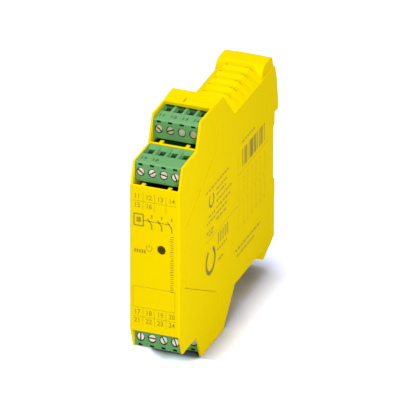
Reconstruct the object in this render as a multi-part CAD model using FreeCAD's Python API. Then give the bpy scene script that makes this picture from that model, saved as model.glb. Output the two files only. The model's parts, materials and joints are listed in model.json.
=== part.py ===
"""Slim safety relay module for a 35 mm rail, with four plug-in screw terminal blocks.

Frame: the origin is on the plane that seats against the rail, at mid height and mid width.
+X runs across the module, +Y points back to the rail and +Z points up. All sizes are in mm.
Most places along Y are given as a depth, counted from the front plate towards the rail.
"""
import FreeCAD, Part
import math
import os

V = FreeCAD.Vector

# ------------------------------------------------------------------ driving dimensions
# Terminal blocks: four poles side by side set the width of the case.
POLES = 4
POLE_PITCH = 5.08
PLUG_TRIM = 0.31            # taken off each end of a block, beside the outer poles
PLUG_HEIGHT = 8.0
PLUG_DEPTH = 16.8
PLUG_EDGE = 0.6             # bevel between a block's screw face and its label face
PLUG_CLEARANCE = 0.15       # each side, between a block and the wings of the case
PLUG_SETBACK = 3.7          # front block's screw face, behind the front plate
STEP_DEPTH = 20.8           # from the front block to the rear block
STEP_HEIGHT = 8.9

NOSE_LENGTH = 6.8           # the part of a block that enters its header
NOSE_HEIGHT = 5.0
NOSE_LIFT = 0.6             # nose above the underside of the block
NOSE_INSET = 0.9
NOSE_CLEARANCE = 0.3
HEADER_WALL = 0.7
HEADER_BACK = 1.6

# Clamps: screw, rising cage and contact of one pole, placed from the block's screw face.
SCREW_LIFT = 3.8            # screw axis above the underside of the block
HEAD_RADIUS = 1.7
HEAD_RECESS = 0.45
HEAD_THICKNESS = 1.5
SLOT_WIDTH = 0.55
SLOT_DEPTH = 0.7
SHANK_RADIUS = 1.25
THREAD_CLEARANCE = 0.08     # radial, thread left plain
SCREW_CLEARANCE = 0.15      # radial, round the head and the shank
CAGE_WIDTH = 3.7
CAGE_HEIGHT = 4.6
CAGE_SIDE = 0.6
CAGE_FRONT = 1.4            # the wall that holds the thread
CAGE_WINDOW = 4.6
CAGE_BACK = 1.2
CAGE_TRAVEL = 2.0
TIP_REACH = 1.45            # screw tip beyond the cage's thread with the clamp open
CAGE_CLEARANCE = 0.3
CONTACT_DEPTH = 8.0         # front of the contact strip
CONTACT_WIDTH = 2.2
CONTACT_THICKNESS = 0.6
SOCKET_DEPTH = 14.0
SOCKET_SIZE = 2.6
CONTACT_CLEARANCE = 0.1
PIN_SIZE = 1.0
PIN_CLEARANCE = 0.3         # each side, pin to socket
PIN_REACH = 4.8             # pin tip, forward of the header's back wall
PIN_ROW_STEP = 1.6          # between the legs of neighbouring pins
FUNNEL_WIDTH = 3.9
FUNNEL_DROP = 1.4
FUNNEL_START = 8.1
WIRE_HOLE = 2.7
WIRE_HOLE_START = 8.3
WIRE_HOLE_LENGTH = 3.0
FUNNEL_MARGIN = 0.6         # solid edge behind the funnels
TEST_SLOT_WIDTH = 1.9
TEST_SLOT_HEIGHT = 0.9
TEST_SLOT_LIFT = 7.0        # centre of a test slot above the underside of the block
TEST_SLOT_DEPTH = 1.9

# Front cap.
PLATE_HALF = 30.4           # half height of the front plate
PLATE_THICKNESS = 1.3
PLATE_ROUNDING = 0.95
WING_WALL = 1.05
CAP_STEP = 0.2              # the rear housing stands this much proud of the cap, each side
PLUG_LIFT = 0.5             # block above the edge that it slides over
PLUG_HEADROOM = 0.3
ROOF = 1.4
ROOF_OVERLAP = 3.5          # roof that covers the back of the rear block
WING_RISE = 0.1             # front wing above the front block
WING_LEAN = 4.0             # depth at which the front wing reaches its full height
WING_HEEL = 1.0
LEDGE_THICKNESS = 1.1
LEDGE_HEIGHT = 1.5
NUB_WIDTH = 1.6
NUB_OFFSET = 5.8
LOW_WING_END = 17.5
HIGH_WING_START = 23.5
SLIT_X = -2.4
SLIT_WIDTH = 0.4
SLIT_START = 39.0
SLIT_LENGTH = 4.0

# Seam between cap and housing.
SEAM_BEHIND = 0.7           # behind the rear blocks
SEAM_GAP = 0.12
TONGUE_DEPTH = 6.0          # front end of the housing's side tongues
TONGUE_HALF = 12.0
SEAM_KNEE = 29.5

# Rear housing.
FRONT_TO_RAIL = 110.3
SLOPE_CLEARANCE = 0.6       # rear header's upper back edge to the slope behind the ridge
SIDE_WALL = 1.2
SHELL = 1.6
DECK_EDGE = 36.0            # top of a side wall behind the ridge
DECK_CROWN = 40.2
CROWN_HALF = 5.6            # half width of the flat middle of the deck
DECK_LIP = 0.8              # plain strip along each side wall, outside the louvres
LOUVRES = 5
LOUVRE_PITCH = 6.5
LOUVRE_FIRST = 68.6         # first crest
LOUVRE_RISE = 2.5           # length of the steep flank
LOUVRE_HEIGHT = 0.9
LOUVRE_MIN = 0.1
VENT_LENGTH = 3.2
VENT_WIDTH = 0.8
VENT_CENTRE = 5.6
VENT_BEHIND_CREST = 0.5
EAR_INSET = 0.8
EAR_HEIGHT = 40.7
EAR_START = 96.5
EAR_FULL = 101.2
EAR_BEVEL = 107.5
EAR_BEND = (0.36, 0.68)     # middle of its front curve: parts of its run and of its rise
EAR_ROOT = 1.6              # ear sunk in the deck
REAR_WALL = 2.3
SHOULDER_DEPTH = 109.6
SHOULDER_HEIGHT = 40.2
SHOULDER_LEAN = 1.4         # the back leans out by this much down to the side walls
FOOT_FRONT = 98.3
FOOT_SLOPE = 2.0
FOOT_FLAT = 1.2
FOOT_BOTTOM = 41.4
FOOT_BACK_Z = 37.7

# Rail seat: 35 mm rail, 1 mm thick, flanges 5 mm wide.
RAIL_HALF = 17.5
RAIL_THICKNESS = 1.0
RAIL_CLEARANCE = 0.3
HOOK_REACH = 4.2            # hook's back, behind the seat plane
HOOK_LAP = 1.1              # hook over the rail's edge
HOOK_PROFILE = ((1.3, 29.8), (0.3, 22.6), (0.0, 21.0))   # (set in from its back, height)
SEAT_INNER = 11.4
SEAT_LOWER = 19.0
SEAT_RELIEF = 1.6
BACK_RELIEF = 0.7

# Rail latch in its channel below the seat.
LATCH_HALF = 4.0
LATCH_THICKNESS = 2.4
LATCH_FLANGE = 1.2          # how far the guide flange stands out at each side
LATCH_FLANGE_THICKNESS = 1.0
LATCH_CLEARANCE = 0.3
LATCH_TRAVEL = 3.5
LATCH_BOTTOM = 44.5
LATCH_TOP = 21.0
LATCH_NOSE_REACH = 3.4
LATCH_NOSE_ROOT = 4.0       # nose grows out of the slide over this height
LATCH_LEAD_IN = 1.0         # slope that lets the rail push the nose down
TOOL_SLOT = (1.2, 2.4)      # from the latch's lower end
LATCH_LIP = 1.9
LATCH_LAP = 1.1
WINDOW_HALF = 2.2
WINDOW_TOP = 27.0
WINDOW_BOTTOM = 38.2
RIB_TOP = 36.0
RIB_THICKNESS = 1.5
SPRING_WIRE = 0.45          # square wire
SPRING_TURNS = 4
SPRING_SIDES = 16           # straight stretches in each turn
MITRED = 1                  # how a swept section turns its corners
SPRING_CLEARANCE = 0.15

# Inside: board and what it carries.
BOARD_THICKNESS = 1.6
BOARD_GAP = 0.3             # to the left side wall
BOARD_FRONT = 9.0
BOARD_HALF_FRONT = 27.5
BOARD_BACK = 104.0
BOARD_MARGIN = 1.2
RELAY_LENGTH = 28.0
RELAY_HEIGHT = 15.0
RELAY_BREADTH = 13.0
RELAY_DEPTH = 58.0
RELAY_OFFSET = 9.0
RELAY_CORNER = 0.8
RELAY_STANDOFF = 0.3
CAPACITOR_RADIUS = 5.0
CAPACITOR_LENGTH = 12.5
CAPACITOR_PLACE = (30.0, 12.0)
SUPPRESSOR_RADIUS = 3.6
SUPPRESSOR_THICKNESS = 3.2
SUPPRESSOR_PLACE = (30.0, -12.0)
SUPPRESSOR_STANDOFF = 1.0
SUPPRESSOR_LEAD_SPAN = 4.0
LAMP_X = 3.0
LAMP_Z = 5.1
LAMP_RADIUS = 1.8
LAMP_HOLE_CLEARANCE = 0.1
LAMP_FLANGE = 0.8
LAMP_RECESS = 0.25          # lens face behind the plate, and its bevel
LED_RADIUS = 1.5
LED_LENGTH = 4.2
LED_GAP = 0.3               # lens to lamp
LED_LEAD_SPAN = 1.8
LED_LEAD_REACH = 1.5        # leads behind the lamp before they bend
LEAD_SIZE = 0.5

OVERCUT = 1.0               # cutting shapes reach this far past a surface
OVERLAP = 0.5               # joined shapes reach this far into each other

# Angle of each screw slot as the screws were left, one list for each block.
SLOT_ANGLES = {
    "top_front": (-35, 35, -10, -65),
    "top_rear": (-40, 20, 75, -30),
    "bottom_front": (90, 0, -60, -70),
    "bottom_rear": (15, -50, 60, -20),
}

# ------------------------------------------------------------------ sizes that follow
PLUG_HALF = POLES * POLE_PITCH / 2 - PLUG_TRIM
WING_INNER = PLUG_HALF + PLUG_CLEARANCE
CAP_HALF = WING_INNER + WING_WALL
HALF = CAP_HALF + CAP_STEP
PLUG_BASE = PLATE_HALF + PLUG_LIFT
LOW_WING = PLUG_BASE + PLUG_HEIGHT + WING_RISE
LEDGE_TOP = PLATE_HALF + STEP_HEIGHT
CASE_HALF = PLUG_BASE + STEP_HEIGHT + PLUG_HEIGHT + PLUG_HEADROOM + ROOF
POLE_X = [(n - (POLES - 1) / 2) * POLE_PITCH for n in range(POLES)]
CAGE_START = CONTACT_DEPTH - SCREW_CLEARANCE - CAGE_FRONT - TIP_REACH
HEADER_START = PLUG_DEPTH + NOSE_CLEARANCE
HEADER_END = PLUG_DEPTH + NOSE_LENGTH + NOSE_CLEARANCE + HEADER_BACK
SOCKET_LIFT = NOSE_LIFT + NOSE_HEIGHT / 2
RAIL_SLOT = RAIL_THICKNESS + RAIL_CLEARANCE
TOTAL_DEPTH = FRONT_TO_RAIL + HOOK_REACH
HEAD_END = HEAD_RECESS + HEAD_THICKNESS
SEAM_DEPTH = PLUG_SETBACK + STEP_DEPTH + PLUG_DEPTH + SEAM_BEHIND
HEADER_TOP = NOSE_LIFT + NOSE_HEIGHT + NOSE_CLEARANCE + HEADER_WALL
RIDGE_DEPTH = (PLUG_SETBACK + STEP_DEPTH + HEADER_END + PLUG_BASE + STEP_HEIGHT + HEADER_TOP - CASE_HALF
               + (SLOPE_CLEARANCE + SHELL) * math.sqrt(2))
SLOPE_END = RIDGE_DEPTH + CASE_HALF - DECK_EDGE
BOARD_LEFT = SIDE_WALL - HALF + BOARD_GAP
BOARD_RIGHT = BOARD_LEFT + BOARD_THICKNESS
LATCH_FACE = FRONT_TO_RAIL - BACK_RELIEF - LATCH_CLEARANCE
SPRING_RADIUS = LATCH_THICKNESS / 2 + LATCH_CLEARANCE - SPRING_WIRE / 2 - SPRING_CLEARANCE


# ------------------------------------------------------------------ shape helpers
def point(x, depth, z):
    """A point from its depth behind the front plate."""
    return V(x, depth - FRONT_TO_RAIL, z)


def box(x, depth, z):
    """A box from three (low, high) pairs: across, depth and height."""
    corner = point(x[0], depth[0], z[0])
    return Part.makeBox(x[1] - x[0], depth[1] - depth[0], z[1] - z[0], corner)


def side_prism(outline, x):
    """Extrudes a list of (depth, z) points across the width, from x[0] to x[1]."""
    corners = [point(x[0], depth, z) for depth, z in outline]
    face = Part.Face(Part.makePolygon(corners + corners[:1]))
    return face.extrude(V(x[1] - x[0], 0, 0))


def rod(radius, x, z, depth):
    """A round bar along the depth, from depth[0] to depth[1]."""
    start = point(x, depth[0], z)
    return Part.makeCylinder(radius, depth[1] - depth[0], start, V(0, 1, 0))


def upside_down(shape):
    """The same shape below the middle of the case."""
    return shape.mirror(V(0, 0, 0), V(0, 0, 1))


def faceted(sections):
    """A solid with flat sides through closed sections that have as many corners each."""
    faces = [Part.Face(Part.makePolygon(ends + ends[:1])) for ends in (sections[0], sections[-1])]
    for low, high in zip(sections, sections[1:]):
        for n, corner in enumerate(low):
            after = (n + 1) % len(low)
            faces.append(Part.Face(Part.makePolygon([corner, low[after], high[after], high[n], corner])))
    solid = Part.Solid(Part.Shell(faces))
    return solid if solid.Volume > 0 else solid.reversed()


def join(shapes):
    """One solid from shapes that touch or overlap."""
    first, *rest = shapes
    return first.fuse(rest).removeSplitter() if rest else first


def save(node, shape):
    """Writes one node's STEP file."""
    solids = shape.Solids
    shape = solids[0] if len(solids) == 1 else Part.makeCompound(solids)
    shape.exportStep("parts/" + node + ".step")


# ------------------------------------------------------------------ one terminal block
class Block:
    """Place of one terminal block: its screw face, its underside and which way up it is."""

    def __init__(self, name, row, below):
        self.name = name
        self.face = PLUG_SETBACK + row * STEP_DEPTH
        self.base = PLUG_BASE + row * STEP_HEIGHT
        self.below = below

    def box(self, x, along, up):
        """A box in the block's own depth and height."""
        depth = (self.face + along[0], self.face + along[1])
        return box(x, depth, (self.base + up[0], self.base + up[1]))

    def prism(self, outline, x):
        """A prism from the block's own (depth, height) points."""
        return side_prism([(self.face + a, self.base + u) for a, u in outline], x)

    def rectangle(self, x, half, along, up):
        """Corners of a level rectangle centred across on x."""
        depth = (self.face + along[0], self.face + along[1])
        corners = ((-half, depth[0]), (half, depth[0]), (half, depth[1]), (-half, depth[1]))
        return [point(x + side, place, self.base + up) for side, place in corners]

    def rod(self, radius, x, along):
        """A round bar on a screw axis."""
        depth = (self.face + along[0], self.face + along[1])
        return rod(radius, x, self.base + SCREW_LIFT, depth)

    def place(self, shape):
        """The shape at this block's own end of the case."""
        return upside_down(shape) if self.below else shape


BLOCKS = [
    Block("top_front", 0, False),
    Block("top_rear", 1, False),
    Block("bottom_front", 0, True),
    Block("bottom_rear", 1, True),
]


def funnel(block, x):
    """Wire entry of one pole: upright front, long slope behind, and the hole to the cage."""
    top = PLUG_HEIGHT
    floor = PLUG_HEIGHT - FUNNEL_DROP
    hole_end = WIRE_HOLE_START + WIRE_HOLE_LENGTH
    back = PLUG_DEPTH - FUNNEL_MARGIN
    rim = block.rectangle(x, FUNNEL_WIDTH / 2, (FUNNEL_START, back), top)
    throat = block.rectangle(x, WIRE_HOLE / 2, (WIRE_HOLE_START, hole_end), floor)
    mouth = faceted([throat, rim])
    hole = block.box(
        (x - WIRE_HOLE / 2, x + WIRE_HOLE / 2),
        (WIRE_HOLE_START, hole_end),
        (SCREW_LIFT, floor),
    )
    return mouth.fuse(hole)


def contact(block, x, grow=0.0):
    """Strip that the wire is clamped against, bent under the cage to the pin socket."""
    half = CONTACT_WIDTH / 2 + grow
    low = NOSE_LIFT + CONTACT_CLEARANCE
    strip_top = SCREW_LIFT + CAGE_HEIGHT / 2 - CONTACT_CLEARANCE
    strip_back = CONTACT_DEPTH + CONTACT_THICKNESS
    run_top = SCREW_LIFT - CAGE_HEIGHT / 2 - CAGE_CLEARANCE - CONTACT_CLEARANCE
    socket_half = SOCKET_SIZE / 2 + grow
    socket_low = SOCKET_LIFT - SOCKET_SIZE / 2
    socket_end = PLUG_DEPTH + NOSE_LENGTH - CONTACT_THICKNESS
    sides = (x - half, x + half)
    pieces = [
        block.box(sides, (CONTACT_DEPTH - grow, strip_back + grow), (low - grow, strip_top + grow)),
        block.box(sides, (CONTACT_DEPTH - grow, SOCKET_DEPTH + grow), (low - grow, run_top + grow)),
        block.box(sides, (SOCKET_DEPTH - CONTACT_THICKNESS - grow, SOCKET_DEPTH + grow),
                  (low - grow, socket_low + CONTACT_THICKNESS + grow)),
        block.box((x - socket_half, x + socket_half), (SOCKET_DEPTH - grow, socket_end + grow),
                  (socket_low - grow, socket_low + SOCKET_SIZE + grow)),
    ]
    return join(pieces)


def socket_bore(block, x):
    """Way in for the header's pin."""
    half = PIN_SIZE / 2 + PIN_CLEARANCE
    end = PLUG_DEPTH + NOSE_LENGTH + OVERCUT
    start = HEADER_END - HEADER_BACK - PIN_REACH - PIN_CLEARANCE
    return block.box((x - half, x + half), (start, end), (SOCKET_LIFT - half, SOCKET_LIFT + half))


def plug_body(block):
    """Moulded body of one terminal block, with its nose, wire funnels and clamp pockets.

    A forked rib between a screw's head and its cage takes the pull of the screw.
    """
    body = block.prism(
        [(0, 0), (PLUG_DEPTH, 0), (PLUG_DEPTH, PLUG_HEIGHT), (PLUG_EDGE, PLUG_HEIGHT),
         (0, PLUG_HEIGHT - PLUG_EDGE)],
        (-PLUG_HALF, PLUG_HALF),
    )
    nose_half = PLUG_HALF - NOSE_INSET
    nose = block.box((-nose_half, nose_half), (PLUG_DEPTH - OVERLAP, PLUG_DEPTH + NOSE_LENGTH),
                     (NOSE_LIFT, NOSE_LIFT + NOSE_HEIGHT))
    cage_half = CAGE_WIDTH / 2 + CAGE_CLEARANCE
    cage_low = SCREW_LIFT - CAGE_HEIGHT / 2 - CAGE_CLEARANCE
    cage_high = SCREW_LIFT + CAGE_HEIGHT / 2 + CAGE_CLEARANCE
    cage_end = CAGE_START + CAGE_FRONT + CAGE_WINDOW + CAGE_BACK
    pocket = (CAGE_START - CAGE_TRAVEL - CAGE_CLEARANCE, cage_end + CAGE_CLEARANCE)
    fork = SHANK_RADIUS + SCREW_CLEARANCE
    cuts = []
    for x in POLE_X:
        cuts += [
            block.rod(HEAD_RADIUS + SCREW_CLEARANCE, x, (-OVERCUT, HEAD_END + SCREW_CLEARANCE)),
            block.box((x - fork, x + fork), (HEAD_END, CAGE_START), (cage_low, cage_high)),
            block.box((x - cage_half, x + cage_half), pocket, (cage_low, cage_high)),
            funnel(block, x),
            contact(block, x, CONTACT_CLEARANCE),
            socket_bore(block, x),
            block.box((x - TEST_SLOT_WIDTH / 2, x + TEST_SLOT_WIDTH / 2), (-OVERCUT, TEST_SLOT_DEPTH),
                      (TEST_SLOT_LIFT - TEST_SLOT_HEIGHT / 2, TEST_SLOT_LIFT + TEST_SLOT_HEIGHT / 2)),
        ]
    return body.fuse(nose).cut(cuts).removeSplitter()


def screw(block, x, angle):
    """Slotted clamp screw; its thread is left plain."""
    reach = HEAD_RADIUS + OVERCUT
    head = block.rod(HEAD_RADIUS, x, (HEAD_RECESS, HEAD_END))
    shank = block.rod(SHANK_RADIUS, x, (HEAD_END - OVERLAP, CONTACT_DEPTH - SCREW_CLEARANCE))
    slot = block.box((x - reach, x + reach), (0, HEAD_RECESS + SLOT_DEPTH),
                     (SCREW_LIFT - SLOT_WIDTH / 2, SCREW_LIFT + SLOT_WIDTH / 2))
    turn = angle if block.below else -angle
    slot.rotate(point(x, 0, block.base + SCREW_LIFT), V(0, 1, 0), turn)
    return head.fuse(shank).cut(slot)


def cage(block, x):
    """Rising cage of one pole: a threaded front wall and a window for contact and wire."""
    half = CAGE_WIDTH / 2
    low = SCREW_LIFT - CAGE_HEIGHT / 2
    length = CAGE_FRONT + CAGE_WINDOW + CAGE_BACK
    body = block.box((x - half, x + half), (CAGE_START, CAGE_START + length), (low, low + CAGE_HEIGHT))
    window_half = half - CAGE_SIDE
    window = block.box((x - window_half, x + window_half),
                       (CAGE_START + CAGE_FRONT, CAGE_START + CAGE_FRONT + CAGE_WINDOW),
                       (low - OVERCUT, low + CAGE_HEIGHT + OVERCUT))
    bore = block.rod(SHANK_RADIUS + THREAD_CLEARANCE, x,
                     (CAGE_START - OVERCUT, CAGE_START + CAGE_FRONT + OVERCUT))
    return body.cut([window, bore])


def header_body(block):
    """Socket behind a block, soldered to the board by its pins."""
    inner_half = PLUG_HALF - NOSE_INSET + NOSE_CLEARANCE
    low = NOSE_LIFT - NOSE_CLEARANCE
    high = HEADER_TOP - HEADER_WALL
    shell = block.box((-PLUG_HALF, PLUG_HALF), (HEADER_START, HEADER_END), (low - HEADER_WALL, HEADER_TOP))
    hollow = block.box((-inner_half, inner_half), (HEADER_START - OVERCUT, HEADER_END - HEADER_BACK),
                       (low, high))
    half = PIN_SIZE / 2
    holes = [
        block.box((x - half, x + half), (HEADER_START, HEADER_END + OVERCUT),
                  (SOCKET_LIFT - half, SOCKET_LIFT + half))
        for x in POLE_X
    ]
    return shell.cut([hollow] + holes)


def header_pins(block):
    """Square pins, each bent down behind the header and then across to the board."""
    half = PIN_SIZE / 2
    tip = HEADER_END - HEADER_BACK - PIN_REACH
    bend = HEADER_END + PIN_SIZE
    pins = []
    for n, x in enumerate(POLE_X):
        leg = SOCKET_LIFT - (n + 1) * PIN_ROW_STEP
        pins.append(join([
            block.box((x - half, x + half), (tip, bend), (SOCKET_LIFT - half, SOCKET_LIFT + half)),
            block.box((x - half, x + half), (bend - PIN_SIZE, bend), (leg - half, SOCKET_LIFT + half)),
            block.box((BOARD_RIGHT, x + half), (bend - PIN_SIZE, bend), (leg - half, leg + half)),
        ]))
    return Part.makeCompound(pins)


# ------------------------------------------------------------------ case
def mirrored_outline(upper):
    """A closed outline from its upper half, front to back, and the same points below."""
    return upper + [(depth, -z) for depth, z in reversed(upper)]


def front_cap():
    """Front plate, stepped wings, ledges, roofs over the rear blocks and locating nubs."""
    seam = SEAM_GAP
    knee = SEAM_KNEE + seam
    wing_outline = [
        (0, 0), (0, PLATE_HALF), (WING_HEEL, PLATE_HALF + WING_HEEL / 2), (WING_LEAN, LOW_WING),
        (LOW_WING_END, LOW_WING), (HIGH_WING_START, CASE_HALF), (SEAM_DEPTH - seam, CASE_HALF),
        (SEAM_DEPTH - seam, knee), (TONGUE_DEPTH - seam, TONGUE_HALF + seam), (TONGUE_DEPTH - seam, 0),
    ]
    pieces = [box((-CAP_HALF, CAP_HALF), (0, PLATE_THICKNESS), (-PLATE_HALF, PLATE_HALF))]
    for side in (-1, 1):
        x = sorted((side * WING_INNER, side * CAP_HALF))
        wing = side_prism(wing_outline, x)
        pieces += [wing, upside_down(wing)]
    across = (-WING_INNER - WING_WALL / 2, WING_INNER + WING_WALL / 2)
    ledge_start = PLUG_SETBACK + PLUG_DEPTH + PLUG_CLEARANCE
    ledge_end = ledge_start + LEDGE_THICKNESS
    roof_start = PLUG_SETBACK + STEP_DEPTH + PLUG_DEPTH - ROOF_OVERLAP
    bars = [
        box(across, (ledge_start, ledge_end), (LEDGE_TOP - LEDGE_HEIGHT, LEDGE_TOP)),
        box(across, (roof_start, SEAM_DEPTH - seam), (CASE_HALF - ROOF, CASE_HALF)),
    ]
    for side in (-1, 1):
        nub = (side * NUB_OFFSET - NUB_WIDTH / 2, side * NUB_OFFSET + NUB_WIDTH / 2)
        for edge, top, row in ((PLATE_THICKNESS, PLATE_HALF, 0), (ledge_end, LEDGE_TOP, 1)):
            face = PLUG_SETBACK + row * STEP_DEPTH
            bars.append(box(nub, (edge - OVERLAP, face - PLUG_CLEARANCE), (top - LEDGE_THICKNESS, top)))
    cap = join(pieces + bars + [upside_down(bar) for bar in bars])
    lamp_hole = rod(LAMP_RADIUS + LAMP_HOLE_CLEARANCE, LAMP_X, LAMP_Z,
                    (-OVERCUT, PLATE_THICKNESS + OVERCUT))
    cap = cap.cut([lamp_hole, slit()])
    corners = [edge for edge in cap.Edges if is_front_corner(edge)]
    return cap.makeFillet(PLATE_ROUNDING, corners)


def is_front_corner(edge):
    """True for the two long upright edges at the front of the cap."""
    middle = edge.BoundBox.Center
    at_front = abs(middle.y + FRONT_TO_RAIL) < 0.01 and edge.BoundBox.YLength < 0.01
    return at_front and abs(abs(middle.x) - CAP_HALF) < 0.01 and edge.BoundBox.ZLength > PLATE_HALF


def slit():
    """Narrow slit in the roof, across the seam."""
    x = (SLIT_X - SLIT_WIDTH / 2, SLIT_X + SLIT_WIDTH / 2)
    z = (CASE_HALF - SHELL - OVERCUT, CASE_HALF + OVERCUT)
    return box(x, (SLIT_START, SLIT_START + SLIT_LENGTH), z)


def deck_section(depth, rise):
    """Corners of a crowned section of a deck, its louvre `rise` above the plain crown."""
    lip = HALF - DECK_LIP
    lip_z = DECK_EDGE + DECK_LIP * (DECK_CROWN - DECK_EDGE) / (HALF - CROWN_HALF)
    low = DECK_EDGE - SHELL
    right = [(HALF, low), (HALF, DECK_EDGE), (lip, lip_z), (lip, lip_z + rise),
             (CROWN_HALF, DECK_CROWN + rise)]
    left = [(-x, z) for x, z in reversed(right)]
    return [point(x, depth, z) for x, z in right + left]


def louvred_deck():
    """Crowned deck behind the ridge, with a row of sloping louvres across it."""
    start = RIDGE_DEPTH + CASE_HALF - DECK_CROWN - LOUVRE_HEIGHT - OVERLAP
    sections = [deck_section(start, LOUVRE_MIN), deck_section(LOUVRE_FIRST - LOUVRE_RISE, LOUVRE_MIN)]
    for n in range(LOUVRES):
        crest = LOUVRE_FIRST + n * LOUVRE_PITCH
        sections.append(deck_section(crest, LOUVRE_HEIGHT))
        sections.append(deck_section(crest + LOUVRE_PITCH - LOUVRE_RISE, LOUVRE_MIN))
    sections.append(deck_section(SHOULDER_DEPTH, LOUVRE_MIN))
    return faceted(sections)


def vents():
    """Slots behind the louvre crests, at both sides of the deck's flat middle."""
    slots = []
    for n in range(LOUVRES):
        start = LOUVRE_FIRST + n * LOUVRE_PITCH + VENT_BEHIND_CREST
        for side in (-1, 1):
            x = (side * VENT_CENTRE - VENT_LENGTH / 2, side * VENT_CENTRE + VENT_LENGTH / 2)
            slots.append(box(x, (start, start + VENT_WIDTH), (DECK_EDGE, EAR_HEIGHT + OVERCUT)))
    return slots


def rear_outline():
    """Side outline of the housing: seam, roofs, slopes, decks, hook and rail seat."""
    back = FRONT_TO_RAIL - BACK_RELIEF
    slot_z = RAIL_HALF + RAIL_CLEARANCE
    lip_z = RAIL_HALF - HOOK_LAP
    hook = [(TOTAL_DEPTH - inset, z) for inset, z in HOOK_PROFILE]
    return [
        (SEAM_DEPTH, CASE_HALF), (RIDGE_DEPTH, CASE_HALF), (SLOPE_END, DECK_EDGE),
        (SHOULDER_DEPTH + SHOULDER_LEAN, DECK_EDGE), *hook, (TOTAL_DEPTH, lip_z),
        (FRONT_TO_RAIL + RAIL_SLOT, lip_z), (FRONT_TO_RAIL + RAIL_SLOT, slot_z),
        (FRONT_TO_RAIL, slot_z), (FRONT_TO_RAIL, SEAT_INNER),
        (FRONT_TO_RAIL - SEAT_RELIEF, SEAT_INNER), (FRONT_TO_RAIL - SEAT_RELIEF, -SEAT_INNER),
        (FRONT_TO_RAIL, -SEAT_INNER), (FRONT_TO_RAIL, -SEAT_LOWER), (back, -SEAT_LOWER),
        (back, -DECK_EDGE), (SLOPE_END, -DECK_EDGE), (RIDGE_DEPTH, -CASE_HALF), (SEAM_DEPTH, -CASE_HALF),
        (SEAM_DEPTH, -SEAM_KNEE), (TONGUE_DEPTH, -TONGUE_HALF), (TONGUE_DEPTH, TONGUE_HALF),
        (SEAM_DEPTH, SEAM_KNEE),
    ]


def ear():
    """Raised block above the hook; its front curves up out of the deck."""
    x = -HALF + EAR_INSET
    run = EAR_FULL - EAR_START
    rise = EAR_HEIGHT - DECK_EDGE
    start = point(x, EAR_START, DECK_EDGE)
    bend = point(x, EAR_START + run * EAR_BEND[0], DECK_EDGE + rise * EAR_BEND[1])
    full = point(x, EAR_FULL, EAR_HEIGHT)
    corners = [full, point(x, EAR_BEVEL, EAR_HEIGHT), point(x, SHOULDER_DEPTH, SHOULDER_HEIGHT),
               point(x, SHOULDER_DEPTH + SHOULDER_LEAN, DECK_EDGE),
               point(x, EAR_FULL, DECK_EDGE - EAR_ROOT), start]
    lines = [Part.LineSegment(a, b).toShape() for a, b in zip(corners, corners[1:])]
    wire = Part.Wire([Part.Arc(start, bend, full).toShape()] + lines)
    return Part.Face(wire).extrude(V(2 * (HALF - EAR_INSET), 0, 0))


def foot():
    """Block below the seat that guides the latch."""
    inset = HALF - EAR_INSET
    back = FRONT_TO_RAIL - BACK_RELIEF
    outline = [
        (FOOT_FRONT - FOOT_SLOPE, SHELL - DECK_EDGE), (FOOT_FRONT, -FOOT_BOTTOM),
        (FOOT_FRONT + FOOT_FLAT, -FOOT_BOTTOM), (back, -FOOT_BACK_Z), (back, SHELL - DECK_EDGE),
    ]
    return side_prism(outline, (-inset, inset))


def hollow():
    """Room inside the housing, open to the cap, with a shallow vault under each deck."""
    inner = HALF - SIDE_WALL
    ceiling = CASE_HALF - SHELL
    deck = DECK_EDGE - SHELL
    crown = DECK_CROWN - SHELL
    crown_half = CROWN_HALF - OVERLAP
    slope_start = RIDGE_DEPTH - SHELL * (math.sqrt(2) - 1)
    slope_end = slope_start + ceiling - deck
    back = FRONT_TO_RAIL - SEAT_RELIEF - REAR_WALL
    upper = [(-OVERCUT, CASE_HALF + OVERCUT), (SEAM_DEPTH - OVERCUT, CASE_HALF + OVERCUT),
             (SEAM_DEPTH - OVERCUT, ceiling), (slope_start, ceiling), (slope_end, deck), (back, deck)]
    room = side_prism(mirrored_outline(upper), (-inner, inner))
    section = [(-inner, deck - OVERLAP), (-inner, deck), (-crown_half, crown), (crown_half, crown),
               (inner, deck), (inner, deck - OVERLAP)]
    corners = [point(x, RIDGE_DEPTH, z) for x, z in section]
    vault = Part.Face(Part.makePolygon(corners + corners[:1])).extrude(V(0, back - RIDGE_DEPTH, 0))
    return [room, vault, upside_down(vault)]


def latch_channel():
    """Channel for the latch, open to the rail side and below."""
    half = LATCH_HALF + LATCH_CLEARANCE
    wide = LATCH_HALF + LATCH_FLANGE + LATCH_CLEARANCE
    floor = LATCH_FACE - LATCH_THICKNESS - LATCH_CLEARANCE
    flange_back = floor + LATCH_FLANGE_THICKNESS + 2 * LATCH_CLEARANCE
    z = (-FOOT_BOTTOM - OVERCUT, -LATCH_TOP + LATCH_CLEARANCE)
    return [box((-half, half), (floor, TOTAL_DEPTH), z), box((-wide, wide), (floor, flange_back), z)]


def rear_housing():
    """Housing with louvred decks, side tongues, hook, rail seat and latch channel."""
    deck = louvred_deck()
    body = join([side_prism(rear_outline(), (-HALF, HALF)), deck, upside_down(deck), ear(), foot()])
    slots = vents()
    slots += [upside_down(slot) for slot in slots]
    body = body.cut(hollow() + slots + latch_channel() + [slit()])
    floor = LATCH_FACE - LATCH_THICKNESS - LATCH_CLEARANCE
    rib_half = WINDOW_HALF - LATCH_CLEARANCE
    rib = box((-rib_half, rib_half), (floor - OVERLAP, LATCH_FACE), (-RIB_TOP - RIB_THICKNESS, -RIB_TOP))
    return join([body, rib])


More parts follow.
